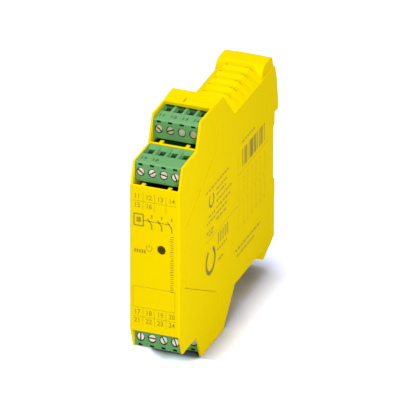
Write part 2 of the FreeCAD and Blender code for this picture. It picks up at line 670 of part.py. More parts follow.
# ------------------------------------------------------------------ rail latch
def rail_latch():
    """Sliding latch: a flanged slide with a spring window, a rail nose and a tool slot."""
    start = LATCH_FACE - LATCH_THICKNESS
    through = (start - OVERCUT, LATCH_FACE + OVERCUT)
    slide = box((-LATCH_HALF, LATCH_HALF), (start, LATCH_FACE), (-LATCH_BOTTOM, -LATCH_TOP))
    wide = LATCH_HALF + LATCH_FLANGE
    flange = box((-wide, wide), (start, start + LATCH_FLANGE_THICKNESS),
                 (LATCH_TRAVEL - FOOT_BACK_Z, -LATCH_TOP))
    root = -LATCH_TOP - LATCH_NOSE_ROOT
    neck = FRONT_TO_RAIL + RAIL_CLEARANCE
    lip = FRONT_TO_RAIL + RAIL_SLOT
    lip_z = LATCH_LAP - RAIL_HALF
    under = -RAIL_HALF - RAIL_CLEARANCE
    nose = side_prism(
        [(LATCH_FACE - OVERLAP, root), (LATCH_FACE - OVERLAP, -LATCH_TOP), (neck, -LATCH_TOP),
         (neck, under), (lip, under), (lip, lip_z), (lip + LATCH_LIP / 2, lip_z),
         (FRONT_TO_RAIL + LATCH_NOSE_REACH, under - LATCH_LEAD_IN), (neck + LATCH_LIP / 2, root)],
        (-LATCH_HALF, LATCH_HALF),
    )
    window = box((-WINDOW_HALF, WINDOW_HALF), through, (-WINDOW_BOTTOM, -WINDOW_TOP))
    tool_slot = box((-WINDOW_HALF, WINDOW_HALF), through,
                    (TOOL_SLOT[0] - LATCH_BOTTOM, TOOL_SLOT[1] - LATCH_BOTTOM))
    return join([slide, flange, nose]).cut([window, tool_slot])


def latch_spring():
    """Coil spring between the housing's rib and the top of the latch's window."""
    half = SPRING_WIRE / 2
    bottom = -RIB_TOP + half + SPRING_CLEARANCE / 2
    top = -WINDOW_TOP - half - SPRING_CLEARANCE / 2
    axis = point(0, LATCH_FACE - LATCH_THICKNESS / 2, bottom)
    steps = SPRING_TURNS * SPRING_SIDES
    turn = 2 * math.pi / SPRING_SIDES
    coil = [axis + V(SPRING_RADIUS * math.cos(n * turn), SPRING_RADIUS * math.sin(n * turn),
                     (top - bottom) * n / steps) for n in range(steps + 1)]
    square = ((-half, -half), (half, -half), (half, half), (-half, half), (-half, -half))
    section = Part.makePolygon([coil[0] + V(out, 0, up) for out, up in square])
    return Part.Wire(Part.makePolygon(coil)).makePipeShell([section], True, False, MITRED)


# ------------------------------------------------------------------ inside
def circuit_board():
    """Upright board along the left wall, cut to clear blocks, headers and slopes."""
    front = BLOCKS[0]
    rear = BLOCKS[1]
    behind_front = front.face + HEADER_END + BOARD_GAP
    behind_rear = rear.face + HEADER_END + BOARD_GAP
    under_rear = rear.base - HEADER_WALL - BOARD_GAP - NOSE_CLEARANCE
    inner_slope = RIDGE_DEPTH + CASE_HALF - SHELL * math.sqrt(2) - BOARD_MARGIN
    shelf = rear.base + 1.5
    deck = DECK_EDGE - SHELL - BOARD_MARGIN
    upper = [
        (BOARD_FRONT, BOARD_HALF_FRONT), (behind_front, BOARD_HALF_FRONT), (behind_front, under_rear),
        (behind_rear, under_rear), (behind_rear, shelf), (inner_slope - shelf, shelf),
        (inner_slope - deck, deck), (BOARD_BACK, deck),
    ]
    return side_prism(mirrored_outline(upper), (BOARD_LEFT, BOARD_RIGHT))


def relay(z):
    """Sealed relay standing on the board."""
    x = (BOARD_RIGHT + RELAY_STANDOFF, BOARD_RIGHT + RELAY_STANDOFF + RELAY_HEIGHT)
    can = box(x, (RELAY_DEPTH - RELAY_LENGTH / 2, RELAY_DEPTH + RELAY_LENGTH / 2),
              (z - RELAY_BREADTH / 2, z + RELAY_BREADTH / 2))
    return can.makeChamfer(RELAY_CORNER, [edge for edge in can.Edges if edge.BoundBox.XMin > x[1] - 0.01])


def capacitor():
    """Round smoothing capacitor lying off the board."""
    depth, z = CAPACITOR_PLACE
    return Part.makeCylinder(CAPACITOR_RADIUS, CAPACITOR_LENGTH, point(BOARD_RIGHT, depth, z), V(1, 0, 0))


def suppressor():
    """Disc that takes up switching surges."""
    depth, z = SUPPRESSOR_PLACE
    centre = BOARD_RIGHT + SUPPRESSOR_STANDOFF + SUPPRESSOR_RADIUS
    disc = Part.makeCylinder(SUPPRESSOR_RADIUS, SUPPRESSOR_THICKNESS, point(centre, depth, z), V(0, 1, 0))
    middle = depth + (SUPPRESSOR_THICKNESS - LEAD_SIZE) / 2
    leads = [
        box((BOARD_RIGHT, centre), (middle, middle + LEAD_SIZE), (lead_z, lead_z + LEAD_SIZE))
        for lead_z in (z - SUPPRESSOR_LEAD_SPAN / 2, z + SUPPRESSOR_LEAD_SPAN / 2 - LEAD_SIZE)
    ]
    return join([disc] + leads)


def status_lens():
    """Window of the status lamp: a bevelled face, and a flange behind the plate."""
    back = PLATE_THICKNESS + LAMP_FLANGE
    tube = rod(LAMP_RADIUS, LAMP_X, LAMP_Z, (LAMP_RECESS, back))
    rim = [edge for edge in tube.Edges if edge.BoundBox.YMax < point(0, back, 0).y - LAMP_FLANGE]
    tube = tube.makeChamfer(LAMP_RECESS, rim)
    flange = rod(LAMP_RADIUS + LAMP_FLANGE, LAMP_X, LAMP_Z, (PLATE_THICKNESS + LAMP_HOLE_CLEARANCE, back))
    return join([tube, flange])


def status_led():
    """Lamp behind the lens, with leads bent across to the board."""
    start = PLATE_THICKNESS + LAMP_FLANGE + LED_GAP
    end = start + LED_LENGTH
    bend = end + LED_LEAD_REACH
    half = LEAD_SIZE / 2
    pieces = [rod(LED_RADIUS, LAMP_X, LAMP_Z, (start, end))]
    for low in (LAMP_Z - LED_LEAD_SPAN / 2, LAMP_Z + LED_LEAD_SPAN / 2 - LEAD_SIZE):
        z = (low, low + LEAD_SIZE)
        pieces.append(box((LAMP_X - half, LAMP_X + half), (end - OVERLAP, bend), z))
        pieces.append(box((BOARD_RIGHT, LAMP_X + half), (bend - LEAD_SIZE, bend), z))
    return join(pieces)


# ------------------------------------------------------------------ write every node
def main():
    os.makedirs("parts", exist_ok=True)
    save("front_cap", front_cap())
    save("rear_housing", rear_housing())
    save("rail_latch", rail_latch())
    save("latch_spring", latch_spring())
    save("circuit_board", circuit_board())
    save("relay_upper", relay(RELAY_OFFSET))
    save("relay_lower", relay(-RELAY_OFFSET))
    save("smoothing_capacitor", capacitor())
    save("surge_suppressor", suppressor())
    save("status_lens", status_lens())
    save("status_led", status_led())
    for block in BLOCKS:
        save("plug_" + block.name, block.place(plug_body(block)))
        save("contacts_" + block.name, block.place(Part.makeCompound(
            [contact(block, x).cut(socket_bore(block, x)) for x in POLE_X])))
        save("header_" + block.name, block.place(header_body(block)))
        save("pins_" + block.name, block.place(header_pins(block)))
        for n, x in enumerate(POLE_X):
            suffix = block.name + "_" + str(n + 1)
            save("screw_" + suffix, block.place(screw(block, x, SLOT_ANGLES[block.name][n])))
            save("cage_" + suffix, block.place(cage(block, x)))


main()
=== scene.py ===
"""Looks of a slim safety relay with plug-in screw terminals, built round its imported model.

Lengths are in metres. X runs across the relay, Y runs back to its rail and Z points up. The front
plate faces -Y. Every sub-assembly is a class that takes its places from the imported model's nodes.
"""

import json
import logging
import math
import random
from dataclasses import dataclass
from enum import Enum
from typing import Any, Callable, Iterable, Sequence

import bmesh
import bpy
from mathutils import Matrix, Vector
from mathutils.geometry import intersect_point_line

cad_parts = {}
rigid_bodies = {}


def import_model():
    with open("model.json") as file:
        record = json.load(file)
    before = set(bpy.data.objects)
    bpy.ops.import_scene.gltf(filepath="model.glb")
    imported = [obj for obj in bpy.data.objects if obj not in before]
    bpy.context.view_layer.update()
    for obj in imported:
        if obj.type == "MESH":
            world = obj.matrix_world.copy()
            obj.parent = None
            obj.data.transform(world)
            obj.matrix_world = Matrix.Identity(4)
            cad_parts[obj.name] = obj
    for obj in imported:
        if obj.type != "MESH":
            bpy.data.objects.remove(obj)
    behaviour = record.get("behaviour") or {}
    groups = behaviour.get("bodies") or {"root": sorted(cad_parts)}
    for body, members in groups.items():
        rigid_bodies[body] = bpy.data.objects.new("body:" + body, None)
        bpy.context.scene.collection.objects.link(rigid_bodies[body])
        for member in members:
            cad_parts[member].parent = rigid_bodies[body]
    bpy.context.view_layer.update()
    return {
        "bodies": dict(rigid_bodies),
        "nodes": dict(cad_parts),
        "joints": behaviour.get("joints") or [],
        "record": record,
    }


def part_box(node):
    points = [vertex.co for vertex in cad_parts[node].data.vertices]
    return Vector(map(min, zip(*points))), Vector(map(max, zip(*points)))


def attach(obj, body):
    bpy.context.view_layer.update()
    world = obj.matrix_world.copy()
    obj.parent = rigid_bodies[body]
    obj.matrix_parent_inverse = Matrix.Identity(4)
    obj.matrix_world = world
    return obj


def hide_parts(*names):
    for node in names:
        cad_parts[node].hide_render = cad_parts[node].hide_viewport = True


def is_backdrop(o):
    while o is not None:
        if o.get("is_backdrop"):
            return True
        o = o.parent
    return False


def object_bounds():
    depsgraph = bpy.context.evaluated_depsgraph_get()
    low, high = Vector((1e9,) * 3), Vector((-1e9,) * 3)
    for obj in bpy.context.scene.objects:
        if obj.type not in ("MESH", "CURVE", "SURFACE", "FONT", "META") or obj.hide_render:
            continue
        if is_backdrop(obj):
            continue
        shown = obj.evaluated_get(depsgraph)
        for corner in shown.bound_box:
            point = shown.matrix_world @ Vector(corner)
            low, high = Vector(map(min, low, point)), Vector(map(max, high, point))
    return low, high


log = logging.getLogger("safety_relay")

MM = 0.001
NEAR = 0.05 * MM            # a corner this close to a given place counts as lying there
WELD = 0.001 * MM           # corners closer than this are one corner
FLAT = math.radians(0.3)    # faces that meet at less than this are one face
SQUARE = math.radians(89)   # an edge that leaves a corner at this angle or more takes no room
SLIVER = math.radians(14)   # a corner thinner than this has no room for a rounding

Box = tuple[Vector, Vector]
Colour = tuple[float, float, float, float]
PrintPoint = tuple[float, float]
PrintBox = tuple[float, float, float, float]
FRAME: dict[str, Any] = {}


# ---------------------------------------------------------------------------- names and choices
class Slot(Enum):
    """Material slots of the record that the pieces take their finishes from."""

    HOUSING = "housing"
    TERMINAL = "terminal"
    HEADER = "header"
    LATCH = "latch"
    SPRING = "spring"
    SCREW = "screw"
    CAGE = "cage"
    CONTACT = "contact"
    PIN = "pin"
    BOARD = "board"
    RELAY_CAN = "relay_can"
    CAPACITOR = "capacitor"
    SUPPRESSOR = "suppressor"
    LENS = "lens"
    LED = "led"


class Ink(Enum):
    """Printing inks on the housing and on the terminal blocks."""

    FRONT = "front_ink"
    SIDE = "side_ink"
    SIDE_FINE = "side_fine_ink"
    TERMINAL = "terminal_ink"


class Effect(Enum):
    """Shader node groups that several finishes share."""

    MOULD_SKIN = "Mould skin"
    METAL_SKIN = "Metal skin"
    # painted shade in pits and slots, found by ambient occlusion
    CAVITY = "Cavity"


def linear(red: int, green: int, blue: int) -> Colour:
    """Turns display values from 0 to 255 into the linear colour that shaders take."""
    shares = [value / 255 for value in (red, green, blue)]
    return (*(s / 12.92 if s <= 0.04045 else ((s + 0.055) / 1.055) ** 2.4 for s in shares), 1.0)


def spaced(values: dict[str, Any]) -> dict[str, Any]:
    """The same values under socket names, where a space stands for each underscore."""
    return {name.replace("_", " "): value for name, value in values.items()}


# ---------------------------------------------------------------------------- node trees
class NodeSheet:
    """A node tree with short calls to add nodes and to link them."""

    def __init__(self, tree: bpy.types.NodeTree) -> None:
        """Takes the tree that the calls add to."""
        self.tree = tree

    def add(self, kind: str, inputs: dict[Any, Any] | None = None, **settings: Any) -> bpy.types.Node:
        """Adds a node.

        Args:
            kind: The node's type, such as "ShaderNodeTexNoise".
            inputs: Input names or numbers, each with a value or with the socket that feeds it.
            **settings: Properties of the node itself.

        Returns:
            The new node.
        """
        node = self.tree.nodes.new(kind)
        for name, value in settings.items():
            setattr(node, name, value)
        for name, value in (inputs or {}).items():
            if isinstance(value, bpy.types.NodeSocket):
                self.tree.links.new(value, node.inputs[name])
            else:
                node.inputs[name].default_value = value
        return node

    def maths(self, operation: str, *values: Any) -> bpy.types.NodeSocket:
        """Adds a maths node over sockets or numbers and returns its result."""
        return self.add("ShaderNodeMath", dict(enumerate(values)), operation=operation).outputs[0]

    def ramp(self, value: Any, start: Any, end: Any, low: float = 0.0,
             high: float = 1.0) -> bpy.types.NodeSocket:
        """Adds a clamped ramp, from low at the start to high at the end."""
        span = {"From Min": start, "From Max": end, "To Min": low, "To Max": high}
        return self.add("ShaderNodeMapRange", {"Value": value, **span}).outputs[0]

    def mix(self, share: Any, first: Any, second: Any) -> bpy.types.NodeSocket:
        """Adds a mix of two colours."""
        colours = {"Factor": share, "A": first, "B": second}
        return self.add("ShaderNodeMix", colours, data_type="RGBA").outputs["Result"]

    def socket(self, name: str, kind: str, output: bool = False, default: Any = None) -> None:
        """Adds a named input, or output, to the tree's own interface.

        Args:
            name: The socket's name.
            kind: Its type, such as "NodeSocketFloat".
            output: Whether it is an output.
            default: Its value where nothing feeds it.
        """
        made = self.tree.interface.new_socket(name, in_out="OUTPUT" if output else "INPUT", socket_type=kind)
        if default is not None:
            made.default_value = default


def mould_skin() -> bpy.types.NodeTree:
    """Builds the skin of a spark-eroded mould: fine grain, slow tone changes and uneven gloss.

    Returns:
        A group with Vector, Grain, Tone depth, Gloss and Gloss spread in, and Tone, Roughness and
        Height out.
    """
    tree = bpy.data.node_groups.new(Effect.MOULD_SKIN.value, "ShaderNodeTree")
    sheet = NodeSheet(tree)
    sheet.socket("Vector", "NodeSocketVector")
    sheet.socket("Grain", "NodeSocketFloat", default=4000.0)
    sheet.socket("Tone depth", "NodeSocketFloat", default=0.05)
    sheet.socket("Gloss", "NodeSocketFloat", default=0.4)
    sheet.socket("Gloss spread", "NodeSocketFloat", default=0.08)
    for name in ("Tone", "Roughness", "Height"):
        sheet.socket(name, "NodeSocketFloat", output=True)
    given = sheet.add("NodeGroupInput").outputs
    place = given["Vector"]
    grain = sheet.add("ShaderNodeTexNoise", {"Vector": place, "Scale": given["Grain"], "Detail": 2.0})
    cells = sheet.add("ShaderNodeTexVoronoi", {"Vector": place, "Scale": given["Grain"]})
    slow = sheet.add("ShaderNodeTexNoise", {"Vector": place, "Scale": 38.0, "Detail": 3.0})
    height = sheet.maths("ADD", sheet.maths("MULTIPLY", grain.outputs[0], 0.6),
                         sheet.maths("MULTIPLY", cells.outputs["Distance"], 0.4))
    drift = sheet.maths("SUBTRACT", slow.outputs[0], 0.5)
    fleck = sheet.maths("MULTIPLY", sheet.maths("SUBTRACT", grain.outputs[0], 0.5), 0.5)
    tone = sheet.maths("MULTIPLY_ADD", sheet.maths("ADD", drift, fleck), given["Tone depth"], 1.0)
    gloss = sheet.maths("MULTIPLY_ADD", drift, given["Gloss spread"], given["Gloss"])
    sheet.add("NodeGroupOutput", {"Tone": tone, "Roughness": gloss, "Height": height})
    return tree


def metal_skin() -> bpy.types.NodeTree:
    """Builds the skin of plated metal: scuffs along one way, dull blotches and tool marks.

    Returns:
        A group with Vector, Stretch, Gloss and Dulling in, and Mask, Roughness and Height out.
    """
    tree = bpy.data.node_groups.new(Effect.METAL_SKIN.value, "ShaderNodeTree")
    sheet = NodeSheet(tree)
    sheet.socket("Vector", "NodeSocketVector")
    sheet.socket("Stretch", "NodeSocketVector", default=(900.0, 900.0, 9000.0))
    sheet.socket("Gloss", "NodeSocketFloat", default=0.3)
    sheet.socket("Dulling", "NodeSocketFloat", default=0.2)
    for name in ("Mask", "Roughness", "Height"):
        sheet.socket(name, "NodeSocketFloat", output=True)
    given = sheet.add("NodeGroupInput").outputs
    pulled = sheet.add("ShaderNodeVectorMath", {0: given["Vector"], 1: given["Stretch"]},
                       operation="MULTIPLY")
    marks = sheet.add("ShaderNodeTexNoise", {"Vector": pulled.outputs[0], "Scale": 1.0, "Detail": 3.0})
    blotch = sheet.add("ShaderNodeTexNoise", {"Vector": given["Vector"], "Scale": 700.0, "Detail": 4.0})
    mask = sheet.ramp(blotch.outputs[0], 0.42, 0.62)
    rough = sheet.maths("MULTIPLY_ADD", mask, given["Dulling"], given["Gloss"])
    sheet.add("NodeGroupOutput", {"Mask": mask, "Roughness": rough, "Height": marks.outputs[0]})
    return tree


def cavity() -> bpy.types.NodeTree:
    """Builds painted shade: a darker colour painted where ambient occlusion finds places that little light
    reaches, such as pits and slots.

    Returns:
        A group with Colour, Deep colour, Reach, Shut and Open in, and the mixed Colour out.
    """
    tree = bpy.data.node_groups.new(Effect.CAVITY.value, "ShaderNodeTree")
    sheet = NodeSheet(tree)
    sheet.socket("Colour", "NodeSocketColor")
    sheet.socket("Deep colour", "NodeSocketColor")
    sheet.socket("Reach", "NodeSocketFloat", default=4 * MM)
    sheet.socket("Shut", "NodeSocketFloat", default=0.1)
    sheet.socket("Open", "NodeSocketFloat", default=0.5)
    sheet.socket("Colour", "NodeSocketColor", output=True)
    given = sheet.add("NodeGroupInput").outputs
    around = sheet.add("ShaderNodeAmbientOcclusion", {"Distance": given["Reach"]}, samples=8)
    light = sheet.ramp(around.outputs["AO"], given["Shut"], given["Open"])
    mixed = sheet.mix(light, given["Deep colour"], given["Colour"])
    sheet.add("NodeGroupOutput", {"Colour": mixed})
    return tree


GROUP_BUILDERS: dict[Effect, Callable[[], bpy.types.NodeTree]] = {
    Effect.MOULD_SKIN: mould_skin,
    Effect.METAL_SKIN: metal_skin,
    Effect.CAVITY: cavity,
}


class MaterialSheet(NodeSheet):
    """The node tree of one material, with its Principled shader and its Object coordinates."""

    def __init__(self, name: str) -> None:
        """Makes the material and finds its shader.

        Args:
            name: The material's name.
        """
        self.material = bpy.data.materials.new(name)
        self.material.use_nodes = True
        super().__init__(self.material.node_tree)
        self.shader = self.tree.nodes["Principled BSDF"]
        self.place = self.add("ShaderNodeTexCoord").outputs["Object"]

    def effect(self, effect: Effect, **inputs: Any) -> bpy.types.Node:
        """Places one of the shared groups and sets its inputs.

        Args:
            effect: Which group.
            **inputs: Values or sockets by input name; underscores stand for spaces.

        Returns:
            The placed group.
        """
        group = bpy.data.node_groups.get(effect.value) or GROUP_BUILDERS[effect]()
        node = self.add("ShaderNodeGroup", spaced(inputs), node_tree=group)
        if "Vector" in node.inputs:
            self.tree.links.new(self.place, node.inputs["Vector"])
        return node

    def feed(self, name: str, socket: bpy.types.NodeSocket) -> None:
        """Links a socket to one of the shader's inputs."""
        self.tree.links.new(socket, self.shader.inputs[name])

    def fix(self, **values: Any) -> None:
        """Sets constants on the shader's own sockets; underscores stand for spaces."""
        for name, value in spaced(values).items():
            self.shader.inputs[name].default_value = value

    def shaded(self, colour: Sequence[float], tone: bpy.types.NodeSocket) -> bpy.types.NodeSocket:
        """Multiplies a colour by a tone that changes over the surface."""
        scaled = self.add("ShaderNodeVectorMath", {0: tuple(colour[:3]), "Scale": tone}, operation="SCALE")
        return scaled.outputs[0]

    def bump(self, height: bpy.types.NodeSocket, distance: float, strength: float = 1.0) -> None:
        """Feeds a height to the shader's normal through a bump node."""
        node = self.add("ShaderNodeBump", {"Height": height, "Distance": distance, "Strength": strength})
        self.feed("Normal", node.outputs[0])


# ---------------------------------------------------------------------------- finishes
@dataclass(frozen=True)
class MouldedPlastic:
    """Injection-moulded plastic with the fine grain of its mould, and with painted shade in its pits and
    slots where a shade colour is given.
    """

    name: str
    colour: Colour
    gloss: float = 0.4
    grain: float = 4200.0
    depth: float = 0.012 * MM
    tone_depth: float = 0.06
    specular: float = 0.5
    coat: float = 0.0
    # colour of the painted shade in pits and slots, and how far ambient occlusion looks for them
    deep: Colour | None = None
    deep_reach: float = 3 * MM

    def build(self) -> bpy.types.Material:
        """Builds the material.

        Returns:
            The material.
        """
        sheet = MaterialSheet(self.name)
        skin = sheet.effect(Effect.MOULD_SKIN, Grain=self.grain, Tone_depth=self.tone_depth, Gloss=self.gloss)
        colour = sheet.shaded(self.colour, skin.outputs["Tone"])
        # painted shade: darker where ambient occlusion finds a pit or slot
        if self.deep is not None:
            colour = sheet.effect(Effect.CAVITY, Colour=colour, Deep_colour=self.deep,
                                  Reach=self.deep_reach).outputs["Colour"]
        sheet.feed("Base Color", colour)
        sheet.feed("Roughness", skin.outputs["Roughness"])
        sheet.bump(skin.outputs["Height"], self.depth)
        sheet.fix(Specular_IOR_Level=self.specular, Coat_Weight=self.coat)
        return sheet.material


@dataclass(frozen=True)
class PlatedMetal:
    """Zinc or tin plated metal with a duller tint in its blotches, and with painted shade in its slots and
    hollows where a shade colour is given.
    """

    name: str
    colour: Colour
    dull_colour: Colour
    gloss: float = 0.32
    dulling: float = 0.2
    metallic: float = 1.0
    stretch: tuple[float, float, float] = (900.0, 900.0, 9000.0)
    depth: float = 0.01 * MM
    # colour of the painted shade in slots and hollows, how far ambient occlusion looks and the span it ramps
    # over
    deep: Colour | None = None
    deep_reach: float = 1.2 * MM
    deep_span: tuple[float, float] = (0.35, 0.75)

    def build(self) -> bpy.types.Material:
        """Builds the material.

        Returns:
            The material.
        """
        sheet = MaterialSheet(self.name)
        skin = sheet.effect(Effect.METAL_SKIN, Stretch=self.stretch, Gloss=self.gloss, Dulling=self.dulling)
        colour = sheet.mix(skin.outputs["Mask"], self.colour, self.dull_colour)
        # painted shade: darker where ambient occlusion finds a slot or hollow
        if self.deep is not None:
            shut, clear = self.deep_span
            colour = sheet.effect(Effect.CAVITY, Colour=colour, Deep_colour=self.deep,
                                  Reach=self.deep_reach, Shut=shut, Open=clear).outputs["Colour"]
        sheet.feed("Base Color", colour)
        sheet.feed("Roughness", skin.outputs["Roughness"])
        sheet.bump(skin.outputs["Height"], self.depth)
        sheet.fix(Metallic=self.metallic)
        return sheet.material


@dataclass(frozen=True)
class PrintingInk:
    """A thin, slightly uneven film of ink."""

    name: str
    colour: Colour

    def build(self) -> bpy.types.Material:
        """Builds the material.

        Returns:
            The material.
        """
        sheet = MaterialSheet(self.name)
        skin = sheet.effect(Effect.MOULD_SKIN, Grain=2600.0, Tone_depth=0.5, Gloss=0.6)
        sheet.feed("Base Color", sheet.shaded(self.colour, skin.outputs["Tone"]))
        sheet.feed("Roughness", skin.outputs["Roughness"])
        sheet.fix(Specular_IOR_Level=0.3)
        return sheet.material


@dataclass(frozen=True)
class LampWindow:
    """Dark tinted window of an unlit lamp, lighter towards its rim."""

    centre: Vector
    radius: float = 1.8 * MM
    name: str = "lamp_window"
    heart: Colour = linear(66, 54, 4)
    rim: Colour = linear(92, 76, 10)
    heart_share: float = 0.3

    def build(self) -> bpy.types.Material:
        """Builds the material.

        Returns:
            The material.
        """
        sheet = MaterialSheet(self.name)
        away = sheet.add("ShaderNodeVectorMath", {0: sheet.place, 1: tuple(self.centre)},
                         operation="DISTANCE")
        share = sheet.ramp(away.outputs["Value"], self.radius * self.heart_share, self.radius)
        sheet.feed("Base Color", sheet.mix(share, self.heart, self.rim))
        skin = sheet.effect(Effect.MOULD_SKIN, Grain=900.0, Tone_depth=0.1, Gloss=0.2)
        sheet.feed("Roughness", skin.outputs["Roughness"])
        sheet.fix(Specular_IOR_Level=0.1)
        return sheet.material


Finish = MouldedPlastic | PlatedMetal | PrintingInk | LampWindow

# Each colour given as a shade colour below is painted shade in pits, slots and hollows, not the part's own
# colour.
FINISHES: dict[Slot | Ink, Finish] = {
    Slot.HOUSING: MouldedPlastic("yellow_housing", linear(255, 225, 0), gloss=0.5, tone_depth=0.03,
                                 specular=0.003),
    Slot.TERMINAL: MouldedPlastic("green_terminal", linear(104, 168, 104), gloss=0.42, tone_depth=0.08,
                                  specular=0.3, deep=linear(0, 62, 34)),
    Slot.HEADER: MouldedPlastic("green_header", linear(44, 122, 70), gloss=0.5, specular=0.3,
                                deep=linear(14, 74, 42)),
    Slot.LATCH: MouldedPlastic("black_latch", linear(38, 38, 40), gloss=0.42, depth=0.02 * MM),
    Slot.SPRING: PlatedMetal("spring_wire", linear(178, 178, 182), linear(120, 120, 124), gloss=0.28),
    Slot.SCREW: PlatedMetal("plated_screw", linear(240, 232, 220), linear(226, 214, 196), gloss=0.38,
                            deep=linear(104, 62, 50)),
    Slot.CAGE: PlatedMetal("plated_cage", linear(150, 160, 150), linear(110, 120, 110), gloss=0.4,
                           deep=linear(8, 26, 16)),
    Slot.CONTACT: PlatedMetal("tinned_contact", linear(214, 210, 198), linear(172, 150, 110), gloss=0.3),
    Slot.PIN: PlatedMetal("tinned_pin", linear(220, 216, 204), linear(180, 160, 120), gloss=0.25),
    Slot.BOARD: MouldedPlastic("green_board", linear(22, 92, 48), gloss=0.3, grain=2200.0, coat=0.3),
    Slot.RELAY_CAN: MouldedPlastic("black_can", linear(30, 30, 32), gloss=0.3),
    Slot.CAPACITOR: MouldedPlastic("sleeved_can", linear(34, 42, 62), gloss=0.25, coat=0.2),
    Slot.SUPPRESSOR: MouldedPlastic("dipped_disc", linear(32, 72, 140), gloss=0.22, coat=0.3),
    Slot.LED: MouldedPlastic("clear_lamp", linear(176, 210, 178), gloss=0.15),
    Ink.FRONT: PrintingInk("front_ink", linear(182, 158, 12)),
    Ink.SIDE: PrintingInk("side_ink", linear(150, 128, 14)),
    Ink.SIDE_FINE: PrintingInk("side_fine_ink", linear(186, 160, 4)),
    Ink.TERMINAL: PrintingInk("terminal_ink", linear(34, 66, 40)),
}


class Wardrobe:
    """Builds each finish once and dresses pieces with it."""

    def __init__(self) -> None:
        """Starts with every finish known and none built."""
        self.finishes: dict[Slot | Ink, Finish] = dict(FINISHES)
        self.made: dict[Slot | Ink, bpy.types.Material] = {}

    def material(self, key: Slot | Ink) -> bpy.types.Material:
        """Finds the material of a slot or an ink, and builds it if it is the first time.

        Args:
            key: The slot or the ink.

        Returns:
            The material.
        """
        if key not in self.made:
            self.made[key] = self.finishes[key].build()
        return self.made[key]

    def dress(self, piece: bpy.types.Object, *keys: Slot | Ink) -> None:
        """Gives a piece its finishes.

        Args:
            piece: The piece that is dressed.
            *keys: Slots or inks, in the order of the piece's material indices.
        """
        piece.data.materials.clear()
        for key in keys:
            piece.data.materials.append(self.material(key))


# ---------------------------------------------------------------------------- mesh helpers
def new_piece(name: str, mesh: bpy.types.Mesh) -> bpy.types.Object:
    """Adds a mesh to the scene as an object at the origin.

    Args:
        name: The object's name.
        mesh: Its mesh, already in place.

    Returns:
        The object.
    """
    piece = bpy.data.objects.new(name, mesh)
    bpy.context.collection.objects.link(piece)
    return piece


def node_object(name: str) -> bpy.types.Object:
    """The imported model's own object for a node."""
    return FRAME["nodes"][name]


def middle_of(node: str) -> Vector:
    """The middle of a node's box."""
    return Vector([(low + high) / 2 for low, high in zip(*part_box(node))])


def settle(piece: bpy.types.Object) -> None:
    """Turns a piece's modifiers into plain mesh and removes them.

    Args:
        piece: The piece, whose mesh is replaced.
    """
    depsgraph = bpy.context.evaluated_depsgraph_get()
    mesh = bpy.data.meshes.new_from_object(piece.evaluated_get(depsgraph))
    mesh.name = piece.name
    piece.modifiers.clear()
    piece.data = mesh


def join_meshes(name: str, meshes: Iterable[bpy.types.Mesh]) -> bpy.types.Mesh:
    """Joins meshes into one, keeping their material indices.

    Args:
        name: The joined mesh's name.
        meshes: The meshes, already in place.

    Returns:
        One mesh that holds them all.
    """
    joined = bmesh.new()
    for mesh in meshes:
        joined.from_mesh(mesh)
    result = bpy.data.meshes.new(name)
    joined.to_mesh(result)
    joined.free()
    return result


def room_at_corner(edge: bmesh.types.BMEdge, other: bmesh.types.BMEdge,
                   corner: bmesh.types.BMVert) -> float:
    """The room that an edge leaves beside another where it folds back from their shared corner.

    Args:
        edge: The edge that is rounded.
        other: An edge of the same face.
        corner: The corner that they share.

    Returns:
        The room in metres, endless where the other edge leads away.
    """
    along = edge.other_vert(corner).co - corner.co
    aside = other.other_vert(corner).co - corner.co
    angle = along.angle(aside)
    if angle >= SQUARE:
        return math.inf
    return aside.length * math.sin(angle) if angle > SLIVER else 0.0


def room_between(edge: bmesh.types.BMEdge, other: bmesh.types.BMEdge) -> float:
    """The smallest distance between two edges of a face that share no corner.

    Args:
        edge: The edge that is rounded.
        other: An edge of the same face.

    Returns:
        The distance in metres.
    """
    room = math.inf
    for vertex, line in [(v, other) for v in edge.verts] + [(v, edge) for v in other.verts]:
        start, end = (v.co for v in line.verts)
        _, share = intersect_point_line(vertex.co, start, end)
        nearest = start.lerp(end, min(1.0, max(0.0, share)))
        room = min(room, (vertex.co - nearest).length)
    return room


def room_beside(edge: bmesh.types.BMEdge) -> float:
    """The smallest distance across an edge's faces to what lies beside it, met or not.

    Args:
        edge: The edge that is rounded.

    Returns:
        The room in metres.
    """
    room = math.inf
    for face in edge.link_faces:
        for other in face.edges:
            shared = set(other.verts) & set(edge.verts)
            if not shared:
                room = min(room, room_between(edge, other))
            elif len(shared) == 1:
                room = min(room, room_at_corner(edge, other, shared.pop()))
    return room


@dataclass(frozen=True)
class Nudge:
    """A small shift back of the outline's corners at one depth and height, above and below.

    Lengths are in millimetres; depth counts from the front plate.
    """

    depth: float
    height: float
    back: float

    def apply(self, form: bmesh.types.BMesh, front: float) -> None:
        """Shifts the corners that lie there.

        Args:
            form: The form that is changed.
            front: Y of the front plate.
        """
        for vertex in form.verts:
            place = vertex.co
            at_depth = abs(place.y - front - self.depth * MM) < NEAR
            if at_depth and abs(abs(place.z) - self.height * MM) < NEAR:
                place.y += self.back * MM


